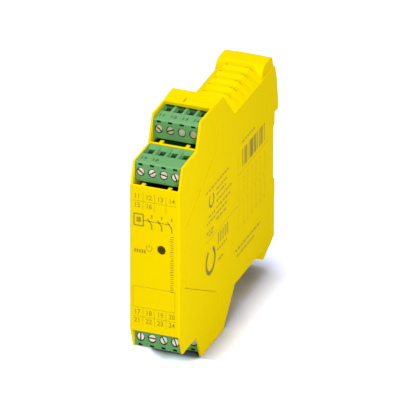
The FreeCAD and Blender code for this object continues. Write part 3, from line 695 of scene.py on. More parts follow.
@dataclass
class Moulding:
    """A moulded node whose longer edges are rounded as they come out of a mould.

    Soft rounding is for the front edges of the outer walls and crisp rounding for the seam, which
    faces back or, with a seam_facing of -1, front. Cuts, nudges and the louvres' lip change the
    node's form first. A rounding takes at most one part in room_parts of the room beside its edge.
    """

    node: str
    body: str
    slot: Slot
    rounding: float = 0.25 * MM
    soft_rounding: float = 0.0
    crisp_rounding: float = 0.05 * MM
    seam_depth: float = -math.inf
    seam_facing: float = 1.0
    cuts: tuple[Box, ...] = ()
    nudges: tuple[Nudge, ...] = ()
    lip: PrintPoint | None = None
    segments: int = 2
    shortest: float = 1.6 * MM
    sharpest: float = math.radians(28)
    room_parts: float = 2.4
    least_share: float = 0.2
    run_out: float = 0.03

    def build(self, wardrobe: Wardrobe) -> bpy.types.Object:
        """Builds the rounded piece, which stands for its node.

        Args:
            wardrobe: Where its finish comes from.

        Returns:
            The piece.
        """
        piece = new_piece(self.node + "_moulding", self.rounded_mesh())
        bevel = piece.modifiers.new("Rounded edges", "BEVEL")
        bevel.limit_method = "WEIGHT"
        bevel.width = self.widest
        bevel.segments = self.segments
        bevel.use_clamp_overlap = False
        bevel.harden_normals = True
        settle(piece)
        wardrobe.dress(piece, self.slot)
        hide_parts(self.node)
        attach(piece, self.body)
        return piece

    @property
    def widest(self) -> float:
        """The widest rounding on the piece."""
        return max(self.rounding, self.soft_rounding)

    def edge_rounding(self, edge: bmesh.types.BMEdge, half: float) -> float:
        """The rounding of an edge: soft on the front edges of outer walls, crisp at a seam.

        Args:
            edge: An edge of the form.
            half: X of the outer walls.

        Returns:
            The rounding's width in metres.
        """
        places = [vertex.co for vertex in edge.verts]
        at_seam = any(face.normal.y * self.seam_facing > 0.3 for face in edge.link_faces)
        if at_seam and all(p.y < self.seam_depth + MM for p in places):
            return self.crisp_rounding
        outer = all(abs(p.x) > half - 0.02 * MM for p in places)
        frontal = any(face.normal.y < -0.15 and abs(face.normal.x) < 0.5 for face in edge.link_faces)
        return self.soft_rounding if self.soft_rounding and outer and frontal else self.rounding

    def cut_pits(self, form: bmesh.types.BMesh) -> None:
        """Cuts upright boxes, each from its lower to its upper corner, out of the form.

        Args:
            form: The form that is changed.
        """
        boxes = bmesh.new()
        for low, high in self.cuts:
            size = Matrix.Diagonal((*(high - low), 1.0))
            bmesh.ops.create_cube(boxes, size=1.0, matrix=Matrix.Translation((low + high) / 2) @ size)
        pair = []
        for name, source in (("blank", form), ("pits", boxes)):
            mesh = bpy.data.meshes.new(name)
            source.to_mesh(mesh)
            pair.append(new_piece(name, mesh))
        blank, pits = pair
        boolean = blank.modifiers.new("Pits", "BOOLEAN")
        boolean.object, boolean.operation, boolean.solver = pits, "DIFFERENCE", "EXACT"
        settle(blank)
        form.clear()
        form.from_mesh(blank.data)
        boxes.free()
        for thing in pair:
            bpy.data.objects.remove(thing)

    def fade_louvres(self, form: bmesh.types.BMesh, side: float, level: float) -> None:
        """Lets the louvres run out into the plain strips at their ends.

        Args:
            form: The form that is changed.
            side: X of the louvres' ends, in millimetres.
            level: Height of the plain strips, in millimetres.
        """
        for vertex in form.verts:
            place = vertex.co
            if abs(abs(place.x) - side * MM) < NEAR and 0 < abs(place.z) / MM - level < 1:
                place.z = math.copysign((level + self.run_out) * MM, place.z)

    def rounded_mesh(self) -> bpy.types.Mesh:
        """Merges a copy of the node's mesh and marks the edges to round.

        Returns:
            The mesh, with a bevel weight on each edge that is rounded.
        """
        form = bmesh.new()
        form.from_mesh(node_object(self.node).data)
        bmesh.ops.remove_doubles(form, verts=form.verts, dist=WELD)
        for nudge in self.nudges:
            nudge.apply(form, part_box("front_cap")[0].y)
        if self.lip is not None:
            self.fade_louvres(form, *self.lip)
        if self.cuts:
            self.cut_pits(form)
        bmesh.ops.dissolve_limit(form, angle_limit=FLAT, verts=form.verts, edges=form.edges)
        weight = form.edges.layers.float.new("bevel_weight_edge")
        half = max(vertex.co.x for vertex in form.verts)
        for edge in form.edges:
            two_sided = len(edge.link_faces) == 2
            if two_sided and edge.calc_length() > self.shortest and edge.calc_face_angle() > self.sharpest:
                width = min(self.edge_rounding(edge, half), room_beside(edge) / self.room_parts)
                edge[weight] = width / self.widest if width > self.least_share * self.rounding else 0.0
        mesh = bpy.data.meshes.new(self.node + "_moulding")
        form.to_mesh(mesh)
        form.free()
        for polygon in mesh.polygons:
            polygon.use_smooth = False
        return mesh


# ---------------------------------------------------------------------------- printing
@dataclass(frozen=True)
class PrintFace:
    """A flat face that is printed on, with its own right and up directions.

    Marks are placed in millimetres from the face's origin. The capital_share is a figure's height
    as a share of its type's size, and boldness thickens it by a share of its height.
    """

    origin: Vector
    right: Vector
    up: Vector
    film: float = 0.02 * MM
    capital_share: float = 0.7
    boldness: float = 0.022

    def matrix(self) -> Matrix:
        """The face's frame as a matrix, its third axis pointing out of the face.

        Returns:
            A matrix that takes points on the face to their place in the scene.
        """
        out = self.right.cross(self.up)
        turned = Matrix((self.right, self.up, out)).transposed().to_4x4()
        return Matrix.Translation(self.origin) @ turned

    def slab(self, corners: Sequence[PrintPoint]) -> bpy.types.Mesh:
        """A film of ink with the given outline.

        Args:
            corners: The outline, listed anticlockwise.

        Returns:
            A closed mesh.
        """
        count = len(corners)
        low = [Vector((x * MM, y * MM, 0.0)) for x, y in corners]
        high = [corner + Vector((0, 0, self.film)) for corner in low]
        faces = [tuple(reversed(range(count))), tuple(range(count, 2 * count))]
        faces += [(n, (n + 1) % count, (n + 1) % count + count, n + count) for n in range(count)]
        mesh = bpy.data.meshes.new("ink")
        mesh.from_pydata(low + high, [], faces)
        mesh.transform(self.matrix())
        return mesh

    def bar(self, left: float, low: float, right: float, high: float) -> bpy.types.Mesh:
        """A printed rectangle from its edges."""
        return self.slab([(left, low), (right, low), (right, high), (left, high)])

    def line(self, start: PrintPoint, end: PrintPoint, width: float) -> bpy.types.Mesh:
        """A printed straight line.

        Args:
            start: One end.
            end: The other end.
            width: The line's width.

        Returns:
            A closed mesh.
        """
        along = Vector((end[0] - start[0], end[1] - start[1])).normalized()
        side = Vector((-along.y, along.x)) * width / 2
        first, last = Vector(start), Vector(end)
        return self.slab([tuple(first - side), tuple(last - side), tuple(last + side), tuple(first + side)])

    def ring(self, centre: PrintPoint, radius: float, width: float, gap: float = 0.0,
             steps: int = 40) -> list[bpy.types.Mesh]:
        """A printed ring, left open at the top.

        Args:
            centre: Its centre.
            radius: Its radius, to the middle of its line.
            width: The line's width.
            gap: The opening, in degrees.
            steps: How many straight pieces it has.

        Returns:
            The marks' meshes.
        """
        half = math.radians(gap) / 2
        start, turn = math.pi / 2 + half, 2 * math.pi - 2 * half
        inner, outer = radius - width / 2, radius + width / 2
        marks = []
        for n in range(steps):
            angles = [start + turn * step / steps for step in (n, n + 1)]
            rim = [(outer, angle) for angle in angles] + [(inner, angle) for angle in reversed(angles)]
            marks.append(self.slab([(centre[0] + reach * math.cos(angle), centre[1] + reach * math.sin(angle))
                                    for reach, angle in rim]))
        return marks

    def outline(self, box: PrintBox, width: float) -> list[bpy.types.Mesh]:
        """The four printed lines of a rectangle.

        Args:
            box: Its left, low, right and high edges.
            width: The lines' width.

        Returns:
            The marks' meshes.
        """
        left, low, right, high = box
        corners = [(left, low), (right, low), (right, high), (left, high)]
        return [self.line(start, end, width) for start, end in zip(corners, corners[1:] + corners[:1])]

    def number(self, value: int, centre: PrintPoint, height: float) -> bpy.types.Mesh:
        """A printed plain number.

        Args:
            value: The number.
            centre: Where its middle lies.
            height: The figures' height.

        Returns:
            A closed mesh.
        """
        curve = bpy.data.curves.new("number", "FONT")
        curve.body = str(value)
        curve.size = height * MM / self.capital_share
        curve.align_x, curve.align_y = "CENTER", "CENTER"
        curve.extrude = self.film / 2
        curve.offset = height * MM * self.boldness
        curve.resolution_u = 3
        text = bpy.data.objects.new("number", curve)
        bpy.context.collection.objects.link(text)
        depsgraph = bpy.context.evaluated_depsgraph_get()
        mesh = bpy.data.meshes.new_from_object(text.evaluated_get(depsgraph))
        bpy.data.objects.remove(text)
        lift = Matrix.Translation((centre[0] * MM, centre[1] * MM, self.film / 2))
        mesh.transform(self.matrix() @ lift)
        return mesh


def print_piece(name: str, meshes: Sequence[bpy.types.Mesh], ink: Ink, body: str,
                wardrobe: Wardrobe) -> bpy.types.Object:
    """Joins printed marks into one piece that rides on a body.

    Args:
        name: The piece's name.
        meshes: The marks.
        ink: What they are printed with.
        body: The body that they ride on.
        wardrobe: Where the finishes come from.

    Returns:
        The piece.
    """
    piece = new_piece(name, join_meshes(name, meshes))
    wardrobe.dress(piece, ink)
    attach(piece, body)
    return piece


# ---------------------------------------------------------------------------- geometry nodes
class ShapeSheet(NodeSheet):
    """A Geometry Nodes tree whose result ends in Realize Instances and Set Material."""

    def __init__(self, name: str, sizes: dict[str, tuple[str, Any]]) -> None:
        """Makes the tree and its named inputs.

        Args:
            name: The tree's name.
            sizes: Each named input, with its socket type and its value where none is given.
        """
        super().__init__(bpy.data.node_groups.new(name, "GeometryNodeTree"))
        self.socket("Material", "NodeSocketMaterial")
        for label, (kind, default) in sizes.items():
            self.socket(label, kind, default=default)
        self.socket("Geometry", "NodeSocketGeometry", output=True)
        self.given = self.add("NodeGroupInput").outputs

    def vector(self, x: Any = 0.0, y: Any = 0.0, z: Any = 0.0) -> bpy.types.NodeSocket:
        """Joins three numbers or sockets into a vector."""
        return self.add("ShaderNodeCombineXYZ", {0: x, 1: y, 2: z}).outputs[0]

    def moved(self, geometry: bpy.types.NodeSocket, shift: Any,
              turn: Any = (0.0, 0.0, 0.0)) -> bpy.types.NodeSocket:
        """Turns and shifts a geometry."""
        values = {"Geometry": geometry, "Translation": shift, "Rotation": turn}
        return self.add("GeometryNodeTransform", values).outputs[0]

    def rod(self, sides: int, radius: Any, length: Any, tip: Any = None) -> bpy.types.NodeSocket:
        """A round bar along Z that stands on the origin.

        Args:
            sides: How many sides it has.
            radius: Its radius.
            length: Its length.
            tip: The radius at its tip, if another.

        Returns:
            The bar's mesh.
        """
        return self.add("GeometryNodeMeshCone", {
            "Vertices": sides, "Radius Top": radius if tip is None else tip, "Radius Bottom": radius,
            "Depth": length}).outputs["Mesh"]

    def wound(self, turns: Any, radius: Any, height: Any, wire: Any, steps: int,
              sides: int) -> bpy.types.NodeSocket:
        """A round wire wound along Z.

        Args:
            turns: How many turns.
            radius: The coil's radius.
            height: The coil's height.
            wire: The wire's radius.
            steps: Points to a turn.
            sides: Sides of the wire.

        Returns:
            The wire's mesh, with closed ends.
        """
        spiral = self.add("GeometryNodeCurveSpiral", {
            "Resolution": steps, "Rotations": turns, "Start Radius": radius, "End Radius": radius,
            "Height": height})
        profile = self.add("GeometryNodeCurvePrimitiveCircle", {"Resolution": sides, "Radius": wire},
                           mode="RADIUS")
        return self.add("GeometryNodeCurveToMesh", {
            "Curve": spiral.outputs[0], "Profile Curve": profile.outputs[0], "Fill Caps": True}).outputs[0]

    def finish(self, geometry: bpy.types.NodeSocket) -> None:
        """Realizes the geometry, sets its material and feeds the output.

        Args:
            geometry: What the tree has made.
        """
        real = self.add("GeometryNodeRealizeInstances", {"Geometry": geometry})
        dressed = self.add("GeometryNodeSetMaterial", {"Geometry": real.outputs[0],
                                                       "Material": self.given["Material"]})
        self.add("NodeGroupOutput", {"Geometry": dressed.outputs[0]})

    def grow(self, name: str, material: bpy.types.Material, **values: Any) -> bpy.types.Object:
        """Runs the tree with the given sizes.

        Args:
            name: The new piece's name.
            material: The finish that the tree sets.
            **values: Values of the tree's named inputs; underscores stand for spaces.

        Returns:
            A piece with a plain mesh and no modifier.
        """
        piece = new_piece(name, bpy.data.meshes.new(name))
        modifier = piece.modifiers.new(name, "NODES")
        modifier.node_group = self.tree
        wanted = {**spaced(values), "Material": material}
        for item in self.tree.interface.items_tree:
            if item.item_type == "SOCKET" and item.in_out == "INPUT" and item.name in wanted:
                modifier[item.identifier] = wanted[item.name]
        settle(piece)
        return piece


def coil_tree() -> ShapeSheet:
    """A round wire wound into an open coil along Z.

    Returns:
        The tree.
    """
    sheet = ShapeSheet("Wound coil", {
        "Place": ("NodeSocketVector", (0.0, 0.0, 0.0)),
        "Coil radius": ("NodeSocketFloat", 1.3 * MM),
        "Wire radius": ("NodeSocketFloat", 0.2 * MM),
        "Height": ("NodeSocketFloat", 9.0 * MM),
        "Turns": ("NodeSocketFloat", 5.0),
    })
    given = sheet.given
    coil = sheet.wound(given["Turns"], given["Coil radius"], given["Height"], given["Wire radius"], 32, 12)
    smooth = sheet.add("GeometryNodeSetShadeSmooth", {"Geometry": coil})
    sheet.finish(sheet.moved(smooth.outputs[0], given["Place"]))
    return sheet


def screw_tree() -> ShapeSheet:
    """A slotted cheese-head screw along Y with a wound thread, its slot turned to an angle.

    Returns:
        The tree.
    """
    sheet = ShapeSheet("Clamp screw", {
        "Place": ("NodeSocketVector", (0.0, 0.0, 0.0)),
        "Head radius": ("NodeSocketFloat", 1.7 * MM),
        "Head height": ("NodeSocketFloat", 1.5 * MM),
        "Crown": ("NodeSocketFloat", 0.12 * MM),
        "Shank radius": ("NodeSocketFloat", 1.25 * MM),
        "Shank length": ("NodeSocketFloat", 5.9 * MM),
        "Pitch": ("NodeSocketFloat", 0.45 * MM),
        "Slot width": ("NodeSocketFloat", 0.55 * MM),
        "Slot depth": ("NodeSocketFloat", 0.7 * MM),
        "Slot angle": ("NodeSocketFloat", 0.0),
        "Core share": ("NodeSocketFloat", 0.84),
        "Ridge share": ("NodeSocketFloat", 0.36),
    })
    given = sheet.given
    rim = sheet.maths("SUBTRACT", given["Head radius"], given["Crown"])
    body_height = sheet.maths("SUBTRACT", given["Head height"], given["Crown"])
    body = sheet.rod(56, given["Head radius"], body_height)
    crown = sheet.rod(56, given["Head radius"], given["Crown"], tip=rim)
    head = sheet.add("GeometryNodeMeshBoolean", operation="UNION")
    for part in (body, sheet.moved(crown, sheet.vector(z=body_height))):
        sheet.tree.links.new(part, head.inputs["Mesh 2"])
    across = sheet.maths("MULTIPLY", given["Head radius"], 3.0)
    twice_deep = sheet.maths("MULTIPLY", given["Slot depth"], 2.0)
    blade = sheet.add("GeometryNodeMeshCube", {"Size": sheet.vector(across, given["Slot width"], twice_deep)})
    cutter = sheet.moved(blade.outputs[0], sheet.vector(z=given["Head height"]),
                         sheet.vector(z=given["Slot angle"]))
    slotted = sheet.add("GeometryNodeMeshBoolean", {"Mesh 1": head.outputs[0], "Mesh 2": cutter},
                        operation="DIFFERENCE")
    core = sheet.rod(32, sheet.maths("MULTIPLY", given["Shank radius"], given["Core share"]),
                     given["Shank length"])
    ridge = sheet.maths("MULTIPLY", given["Pitch"], given["Ridge share"])
    thread_length = sheet.maths("SUBTRACT", given["Shank length"], sheet.maths("MULTIPLY", ridge, 2.0))
    thread_radius = sheet.maths("SUBTRACT", given["Shank radius"], ridge)
    turns = sheet.maths("DIVIDE", thread_length, given["Pitch"])
    thread = sheet.wound(turns, thread_radius, thread_length, ridge, 28, 4)
    below = sheet.maths("MULTIPLY", given["Shank length"], -1.0)
    joined = sheet.add("GeometryNodeJoinGeometry")
    for part in (slotted.outputs[0], sheet.moved(core, sheet.vector(z=below)),
                 sheet.moved(thread, sheet.vector(z=sheet.maths("ADD", below, ridge)))):
        sheet.tree.links.new(part, joined.inputs[0])
    flat = sheet.add("GeometryNodeSetShadeSmooth", {"Geometry": joined.outputs[0], "Shade Smooth": False})
    sheet.finish(sheet.moved(flat.outputs[0], given["Place"], (math.radians(90), 0.0, 0.0)))
    return sheet


def bar_field_tree() -> ShapeSheet:
    """A row of upright printed bars of uneven width and gap, from a fixed seed.

    Returns:
        The tree.
    """
    sheet = ShapeSheet("Bar field", {
        "Start": ("NodeSocketVector", (0.0, 0.0, 0.0)),
        "Length": ("NodeSocketFloat", 27 * MM),
        "Height": ("NodeSocketFloat", 7 * MM),
        "Film": ("NodeSocketFloat", 0.02 * MM),
        "Bars": ("NodeSocketInt", 40),
        "Thinnest": ("NodeSocketFloat", 0.25 * MM),
        "Thickest": ("NodeSocketFloat", 0.75 * MM),
        "Kept share": ("NodeSocketFloat", 0.74),
        "Seed": ("NodeSocketInt", 7),
    })
    given = sheet.given
    last = sheet.vector(y=given["Length"])
    row = sheet.add("GeometryNodeMeshLine", {"Count": given["Bars"], "Offset": last}, mode="END_POINTS")
    kept = sheet.add("FunctionNodeRandomValue", {"Probability": given["Kept share"], "Seed": given["Seed"]},
                     data_type="BOOLEAN")
    width = sheet.add("FunctionNodeRandomValue", {"Min": given["Thinnest"], "Max": given["Thickest"],
                                                  "Seed": given["Seed"]}, data_type="FLOAT")
    bar = sheet.add("GeometryNodeMeshCube", {"Size": (1.0, 1.0, 1.0)})
    bars = sheet.add("GeometryNodeInstanceOnPoints", {
        "Points": row.outputs[0], "Selection": kept.outputs["Value"], "Instance": bar.outputs[0],
        "Scale": sheet.vector(given["Film"], width.outputs["Value"], given["Height"])})
    sheet.finish(sheet.moved(bars.outputs[0], given["Start"]))
    return sheet


# ---------------------------------------------------------------------------- sub-assemblies
@dataclass
class TerminalBlock:
    """A plug-in block: its moulding, printed numbers, clamp screws, cages and contacts.

    The numbers and the pits are in millimetres. Their depths count from the screw face, and the
    pits' foot counts from the block's inner side. The slot angles are in degrees.
    """

    name: str
    below: bool
    first_number: int
    numbered: int
    slot_angles: tuple[float, float, float, float]
    poles: int = 4
    number_height: float = 2.2
    number_back: float = 3.9
    pit_depths: tuple[float, float] = (9.0, 13.6)
    pit_foot: float = 3.2
    pit_width: float = 2.5
    pit_overrun: float = 0.2
    rounding: float = 0.14 * MM
    header_rounding: float = 0.1 * MM
    head_height: float = 1.5 * MM
    head_trim: float = 0.12 * MM

    @property
    def body(self) -> str:
        """The block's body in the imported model."""
        return "plug_" + self.name

    def build(self, wardrobe: Wardrobe, screws: ShapeSheet) -> None:
        """Builds and dresses the block.

        Args:
            wardrobe: Where the finishes come from.
            screws: The tree that makes a clamp screw.
        """
        Moulding(self.body, self.body, Slot.TERMINAL, rounding=self.rounding,
                 cuts=self.pits()).build(wardrobe)
        Moulding("header_" + self.name, "case", Slot.HEADER, rounding=self.header_rounding).build(wardrobe)
        self.print_numbers(wardrobe)
        for pole in range(1, self.poles + 1):
            self.clamp_screw(pole, wardrobe, screws)
            wardrobe.dress(node_object(f"cage_{self.name}_{pole}"), Slot.CAGE)
        wardrobe.dress(node_object("contacts_" + self.name), Slot.CONTACT)
        wardrobe.dress(node_object("pins_" + self.name), Slot.PIN)
        log.info("terminal block %s", self.name)

    def pits(self) -> tuple[Box, ...]:
        """The pits that lengthen the wire entries towards the back.

        Returns:
            Each pit's lower and upper corner.
        """
        low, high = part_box(self.body)
        start, end = (low.y + edge * MM for edge in self.pit_depths)
        half, foot, overrun = self.pit_width * MM / 2, self.pit_foot * MM, self.pit_overrun * MM
        floor, top = (low.z - overrun, high.z - foot) if self.below else (low.z + foot, high.z + overrun)
        places = [self.pole_x(pole) for pole in range(1, self.poles + 1)]
        return tuple((Vector((x - half, start, floor)), Vector((x + half, end, top))) for x in places)

    def print_numbers(self, wardrobe: Wardrobe) -> None:
        """Prints the poles' numbers on the label face.

        Args:
            wardrobe: Where the finishes come from.
        """
        low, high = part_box(self.body)
        up = -1.0 if self.below else 1.0
        top = low.z if self.below else high.z
        face = PrintFace(Vector((0.0, low.y, top)), Vector((up, 0.0, 0.0)), Vector((0.0, 1.0, 0.0)))
        marks = []
        for pole in range(self.numbered):
            x = self.pole_x(pole + 1) / MM * up
            marks.append(face.number(self.first_number + pole, (x, self.number_back), self.number_height))
        print_piece(self.body + "_numbers", marks, Ink.TERMINAL, self.body, wardrobe)

    def pole_x(self, pole: int) -> float:
        """The place of a pole across the block."""
        low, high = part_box(f"screw_{self.name}_{pole}")
        return (low.x + high.x) / 2

    def clamp_screw(self, pole: int, wardrobe: Wardrobe, screws: ShapeSheet) -> None:
        """Builds one clamp screw in place of its plain node.

        Args:
            pole: The pole's number, from 1.
            wardrobe: Where the finishes come from.
            screws: The tree that makes a clamp screw.
        """
        node = f"screw_{self.name}_{pole}"
        low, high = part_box(node)
        middle = middle_of(node)
        piece = screws.grow(node + "_turned", wardrobe.material(Slot.SCREW),
                            Place=Vector((middle.x, low.y + self.head_height, middle.z)),
                            Head_radius=(high.x - low.x) / 2 - self.head_trim, Head_height=self.head_height,
                            Shank_length=high.y - low.y - self.head_height,
                            Slot_angle=math.radians(self.slot_angles[pole - 1]))
        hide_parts(node)
        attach(piece, node)


@dataclass
class Housing:
    """Front cap and rear housing with their printing.

    Printing is in millimetres. On the front it is placed from the plate's middle, and on the side
    by its depth behind the front plate and its height above the middle.
    """

    pole_pitch: float = 5.08
    upper_rows: tuple[float, float] = (26.2, 22.5)
    lower_rows: tuple[float, float] = (-22.4, -25.9)
    upper_numbers: tuple[tuple[int, ...], ...] = ((11, 12, 13, 14), (15, 16))
    lower_numbers: tuple[tuple[int, ...], ...] = ((17, 18, 19, 20), (21, 22, 23, 24))
    number_height: float = 2.0
    row_height: float = 3.6
    rule: float = 0.14
    note_frame: PrintBox = (-9.4, -20.3, 9.0, -11.6)
    coil_frame: PrintBox = (-9.0, 14.0, -4.9, 18.8)
    coil_core: PrintBox = (-7.9, 15.4, -5.9, 17.6)
    contact_places: tuple[float, ...] = (-1.2, 3.2, 7.6)
    sketch_stroke: float = 0.6
    on_mark_place: float = -2.3
    on_mark_radius: float = 1.25
    on_mark_stroke: float = 0.3
    bars_start: PrintPoint = (72.4, 13.6)
    bars_size: PrintPoint = (26.4, 7.6)
    rings: tuple[tuple[PrintPoint, float, float], ...] = (((35.2, -13.4), 5.0, 1.7), ((36.4, 11.6), 2.6, 1.0))
    side_strokes: tuple[float, ...] = (44.0, 46.6, 49.2, 51.8, 54.4)
    plan_places: tuple[float, ...] = (74.0, 78.6, 83.4, 88.2, 93.0, 98.0)
    plan_corner: PrintPoint = (67.5, 8.2)
    note_rule: tuple[float, float, float] = (30.0, 66.0, -4.2)
    note_rows: tuple[tuple[float, float, float], ...] = (
        (30.0, 56.0, 16.6), (42.0, 54.0, 13.6), (42.0, 53.0, 11.3), (42.0, 60.0, 8.6),
        (42.0, 58.0, 5.8), (42.0, 55.0, 3.4), (42.0, 53.0, 1.0), (72.0, 87.0, 20.4),
        (64.0, 93.0, -22.6), (66.0, 86.0, -25.2), (33.0, 40.5, 5.6), (31.0, 41.5, 3.2),
        (30.5, 38.5, -0.6), (33.0, 38.0, -2.2), (43.0, 54.0, -12.4), (44.0, 50.0, -17.0))
    wing_nudges: tuple[Nudge, ...] = (Nudge(17.5, 39.0, 3.1), Nudge(23.5, 49.5, 1.7))
    louvre_lip: PrintPoint = (10.45, 36.6)

    def build(self, wardrobe: Wardrobe, bars: ShapeSheet) -> None:
        """Builds the two shells and prints them.

        Args:
            wardrobe: Where the finishes come from.
            bars: The tree that makes the field of bars.
        """
        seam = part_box("front_cap")[1].y
        Moulding("front_cap", "case", Slot.HOUSING, rounding=0.2 * MM, soft_rounding=0.7 * MM,
                 seam_depth=seam, nudges=self.wing_nudges, segments=3).build(wardrobe)
        Moulding("rear_housing", "case", Slot.HOUSING, rounding=0.18 * MM, seam_depth=seam,
                 seam_facing=-1.0, lip=self.louvre_lip).build(wardrobe)
        self.print_front(wardrobe)
        self.print_side(wardrobe, bars)
        log.info("housing and its printing")

    def print_front(self, wardrobe: Wardrobe) -> None:
        """Prints the terminal tables, the note frame and the marks on the front plate.

        Args:
            wardrobe: Where the finishes come from.
        """
        low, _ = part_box("front_cap")
        face = PrintFace(Vector((0.0, low.y, 0.0)), Vector((1.0, 0.0, 0.0)), Vector((0.0, 0.0, 1.0)))
        marks = self.table(face, self.upper_rows, self.upper_numbers)
        marks += self.table(face, self.lower_rows, self.lower_numbers)
        marks += face.outline(self.note_frame, self.rule)
        marks += self.on_mark(face)
        marks += self.contact_sketch(face)
        marks += self.notes(face, random.Random(5))
        print_piece("front_printing", marks, Ink.FRONT, "case", wardrobe)

    def table(self, face: PrintFace, rows: Sequence[float],
              numbers: Sequence[Sequence[int]]) -> list[bpy.types.Mesh]:
        """A table of pole numbers with thin rules between its cells.

        Args:
            face: The face that is printed on.
            rows: Each row's height on the face.
            numbers: Each row's numbers.

        Returns:
            The marks' meshes.
        """
        marks = []
        for row, values in zip(rows, numbers):
            for column, value in enumerate(values):
                x = (column - 1.5) * self.pole_pitch
                marks.append(face.number(value, (x, row), self.number_height))
        top, foot = rows[0] + self.row_height / 2, rows[-1] - self.row_height / 2
        middle = (rows[0] + rows[-1]) / 2
        half = 1.85 * self.pole_pitch
        marks.append(face.line((-half, middle), (half, middle), self.rule))
        for column in (-1, 0, 1):
            x = column * self.pole_pitch
            marks.append(face.line((x, foot), (x, top), self.rule))
        return marks

    def on_mark(self, face: PrintFace) -> list[bpy.types.Mesh]:
        """The plain on mark beside the lamp: an open ring with a stroke.

        Args:
            face: The face that is printed on.

        Returns:
            The marks' meshes.
        """
        low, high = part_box("status_lens")
        x, z = self.on_mark_place, (low.z + high.z) / 2 / MM
        ring = face.ring((x, z), self.on_mark_radius, self.on_mark_stroke, gap=80.0)
        return ring + [face.line((x, z + 0.2), (x, z + 1.6), self.on_mark_stroke)]

    def contact_sketch(self, face: PrintFace) -> list[bpy.types.Mesh]:
        """A small sketch of a coil and three contacts above the lamp.

        Args:
            face: The face that is printed on.

        Returns:
            The marks' meshes.
        """
        stroke = self.sketch_stroke
        marks = [face.bar(*self.coil_core)] + face.outline(self.coil_frame, stroke)
        for x in self.contact_places:
            marks.append(face.line((x, 13.0), (x, 15.0), stroke))
            marks.append(face.line((x, 15.0), (x - 1.9, 17.4), stroke))
            marks.append(face.line((x, 17.8), (x, 19.2), stroke))
        marks.append(face.line((-4.9, 16.4), (6.6, 16.4), 0.35))
        return marks

    def notes(self, face: PrintFace, draw: random.Random) -> list[bpy.types.Mesh]:
        """Plain dashes in place of the note beside the lamp and of the upright one.

        Args:
            face: The face that is printed on.
            draw: Where the dashes' uneven sizes come from.

        Returns:
            The marks' meshes.
        """
        marks, x, z = [], -8.9, 11.6
        while x < -3.9:
            width = draw.uniform(0.5, 0.8)
            marks.append(face.bar(x, 2.6, x + width, 4.1))
            x += width + 0.35
        while z > -12.0:
            height = draw.uniform(0.25, 0.5)
            marks.append(face.bar(7.2 - draw.uniform(0.0, 0.4), z - height, 8.4, z))
            z -= height + 0.55
        return marks

    def print_side(self, wardrobe: Wardrobe, bars: ShapeSheet) -> None:
        """Prints bars, rings, a contact plan and plain lines on the right side of the housing.

        Args:
            wardrobe: Where the finishes come from.
            bars: The tree that makes the field of bars.
        """
        _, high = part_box("rear_housing")
        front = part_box("front_cap")[0].y
        face = PrintFace(Vector((high.x, front, 0.0)), Vector((0.0, 1.0, 0.0)), Vector((0.0, 0.0, 1.0)))
        back, up = self.bars_start
        length, height = self.bars_size
        field = bars.grow("side_bars", wardrobe.material(Ink.SIDE), Film=0.04 * MM, Length=length * MM,
                          Height=height * MM, Start=Vector((high.x, front + back * MM, up * MM)))
        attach(field, "case")
        marks = [face.bar(x, -10.4, x + 0.8, -5.6) for x in self.side_strokes]
        for centre, radius, width in self.rings:
            marks += face.ring(centre, radius, width, gap=60.0)
        print_piece("side_marks", marks, Ink.SIDE, "case", wardrobe)
        self.print_plan(face, wardrobe)
        self.print_notes(face, wardrobe)

    def print_plan(self, face: PrintFace, wardrobe: Wardrobe) -> None:
        """Prints the plan of contact paths: six upright lines with terminals and contacts.

        Args:
            face: The face that is printed on.
            wardrobe: Where the finishes come from.
        """
        x, z = self.plan_corner
        marks = [face.line((x, z), (102.0, z), 0.16), face.line((x, 15.0), (x, -15.0), 0.16)]
        for n, x in enumerate(self.plan_places):
            top, foot = 5.0 - 0.1 * n, -14.0 + 0.2 * n
            for end in (top + 0.5, foot - 0.5):
                marks += face.ring((x, end), 0.5, 0.16, steps=12)
            for first, last in (((x, top), (x, -3.2)), ((x, -6.0), (x, foot)), ((x, -6.0), (x - 1.3, -3.2))):
                marks.append(face.line(first, last, 0.2))
        print_piece("side_plan", marks, Ink.SIDE_FINE, "case", wardrobe)

    def print_notes(self, face: PrintFace, wardrobe: Wardrobe) -> None:
        """Prints plain broken lines where a housing carries its small notes.

        Args:
            face: The face that is printed on.
            wardrobe: Where the finishes come from.
        """
        draw = random.Random(11)
        start, end, z = self.note_rule
        marks = [face.line((start, z), (end, z), self.rule)]
        for start, end, z in self.note_rows:
            x = start
            while x < end:
                length = draw.uniform(1.2, 3.4)
                marks.append(face.bar(x, z - 0.42, min(x + length, end), z + 0.42))
                x += length + 0.7
        print_piece("side_notes", marks, Ink.SIDE_FINE, "case", wardrobe)


@dataclass
class StatusLamp:
    """Window of the status lamp and the lamp behind it."""

    window: str = "status_lens"
    lamp: str = "status_led"

    def build(self, wardrobe: Wardrobe) -> None:
        """Dresses the window and the lamp.

        Args:
            wardrobe: Where the finishes come from.
        """
        front = middle_of(self.window)
        front.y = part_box(self.window)[0].y
        wardrobe.finishes[Slot.LENS] = LampWindow(front)
        wardrobe.dress(node_object(self.window), Slot.LENS)
        wardrobe.dress(node_object(self.lamp), Slot.LED)
        log.info("status lamp")


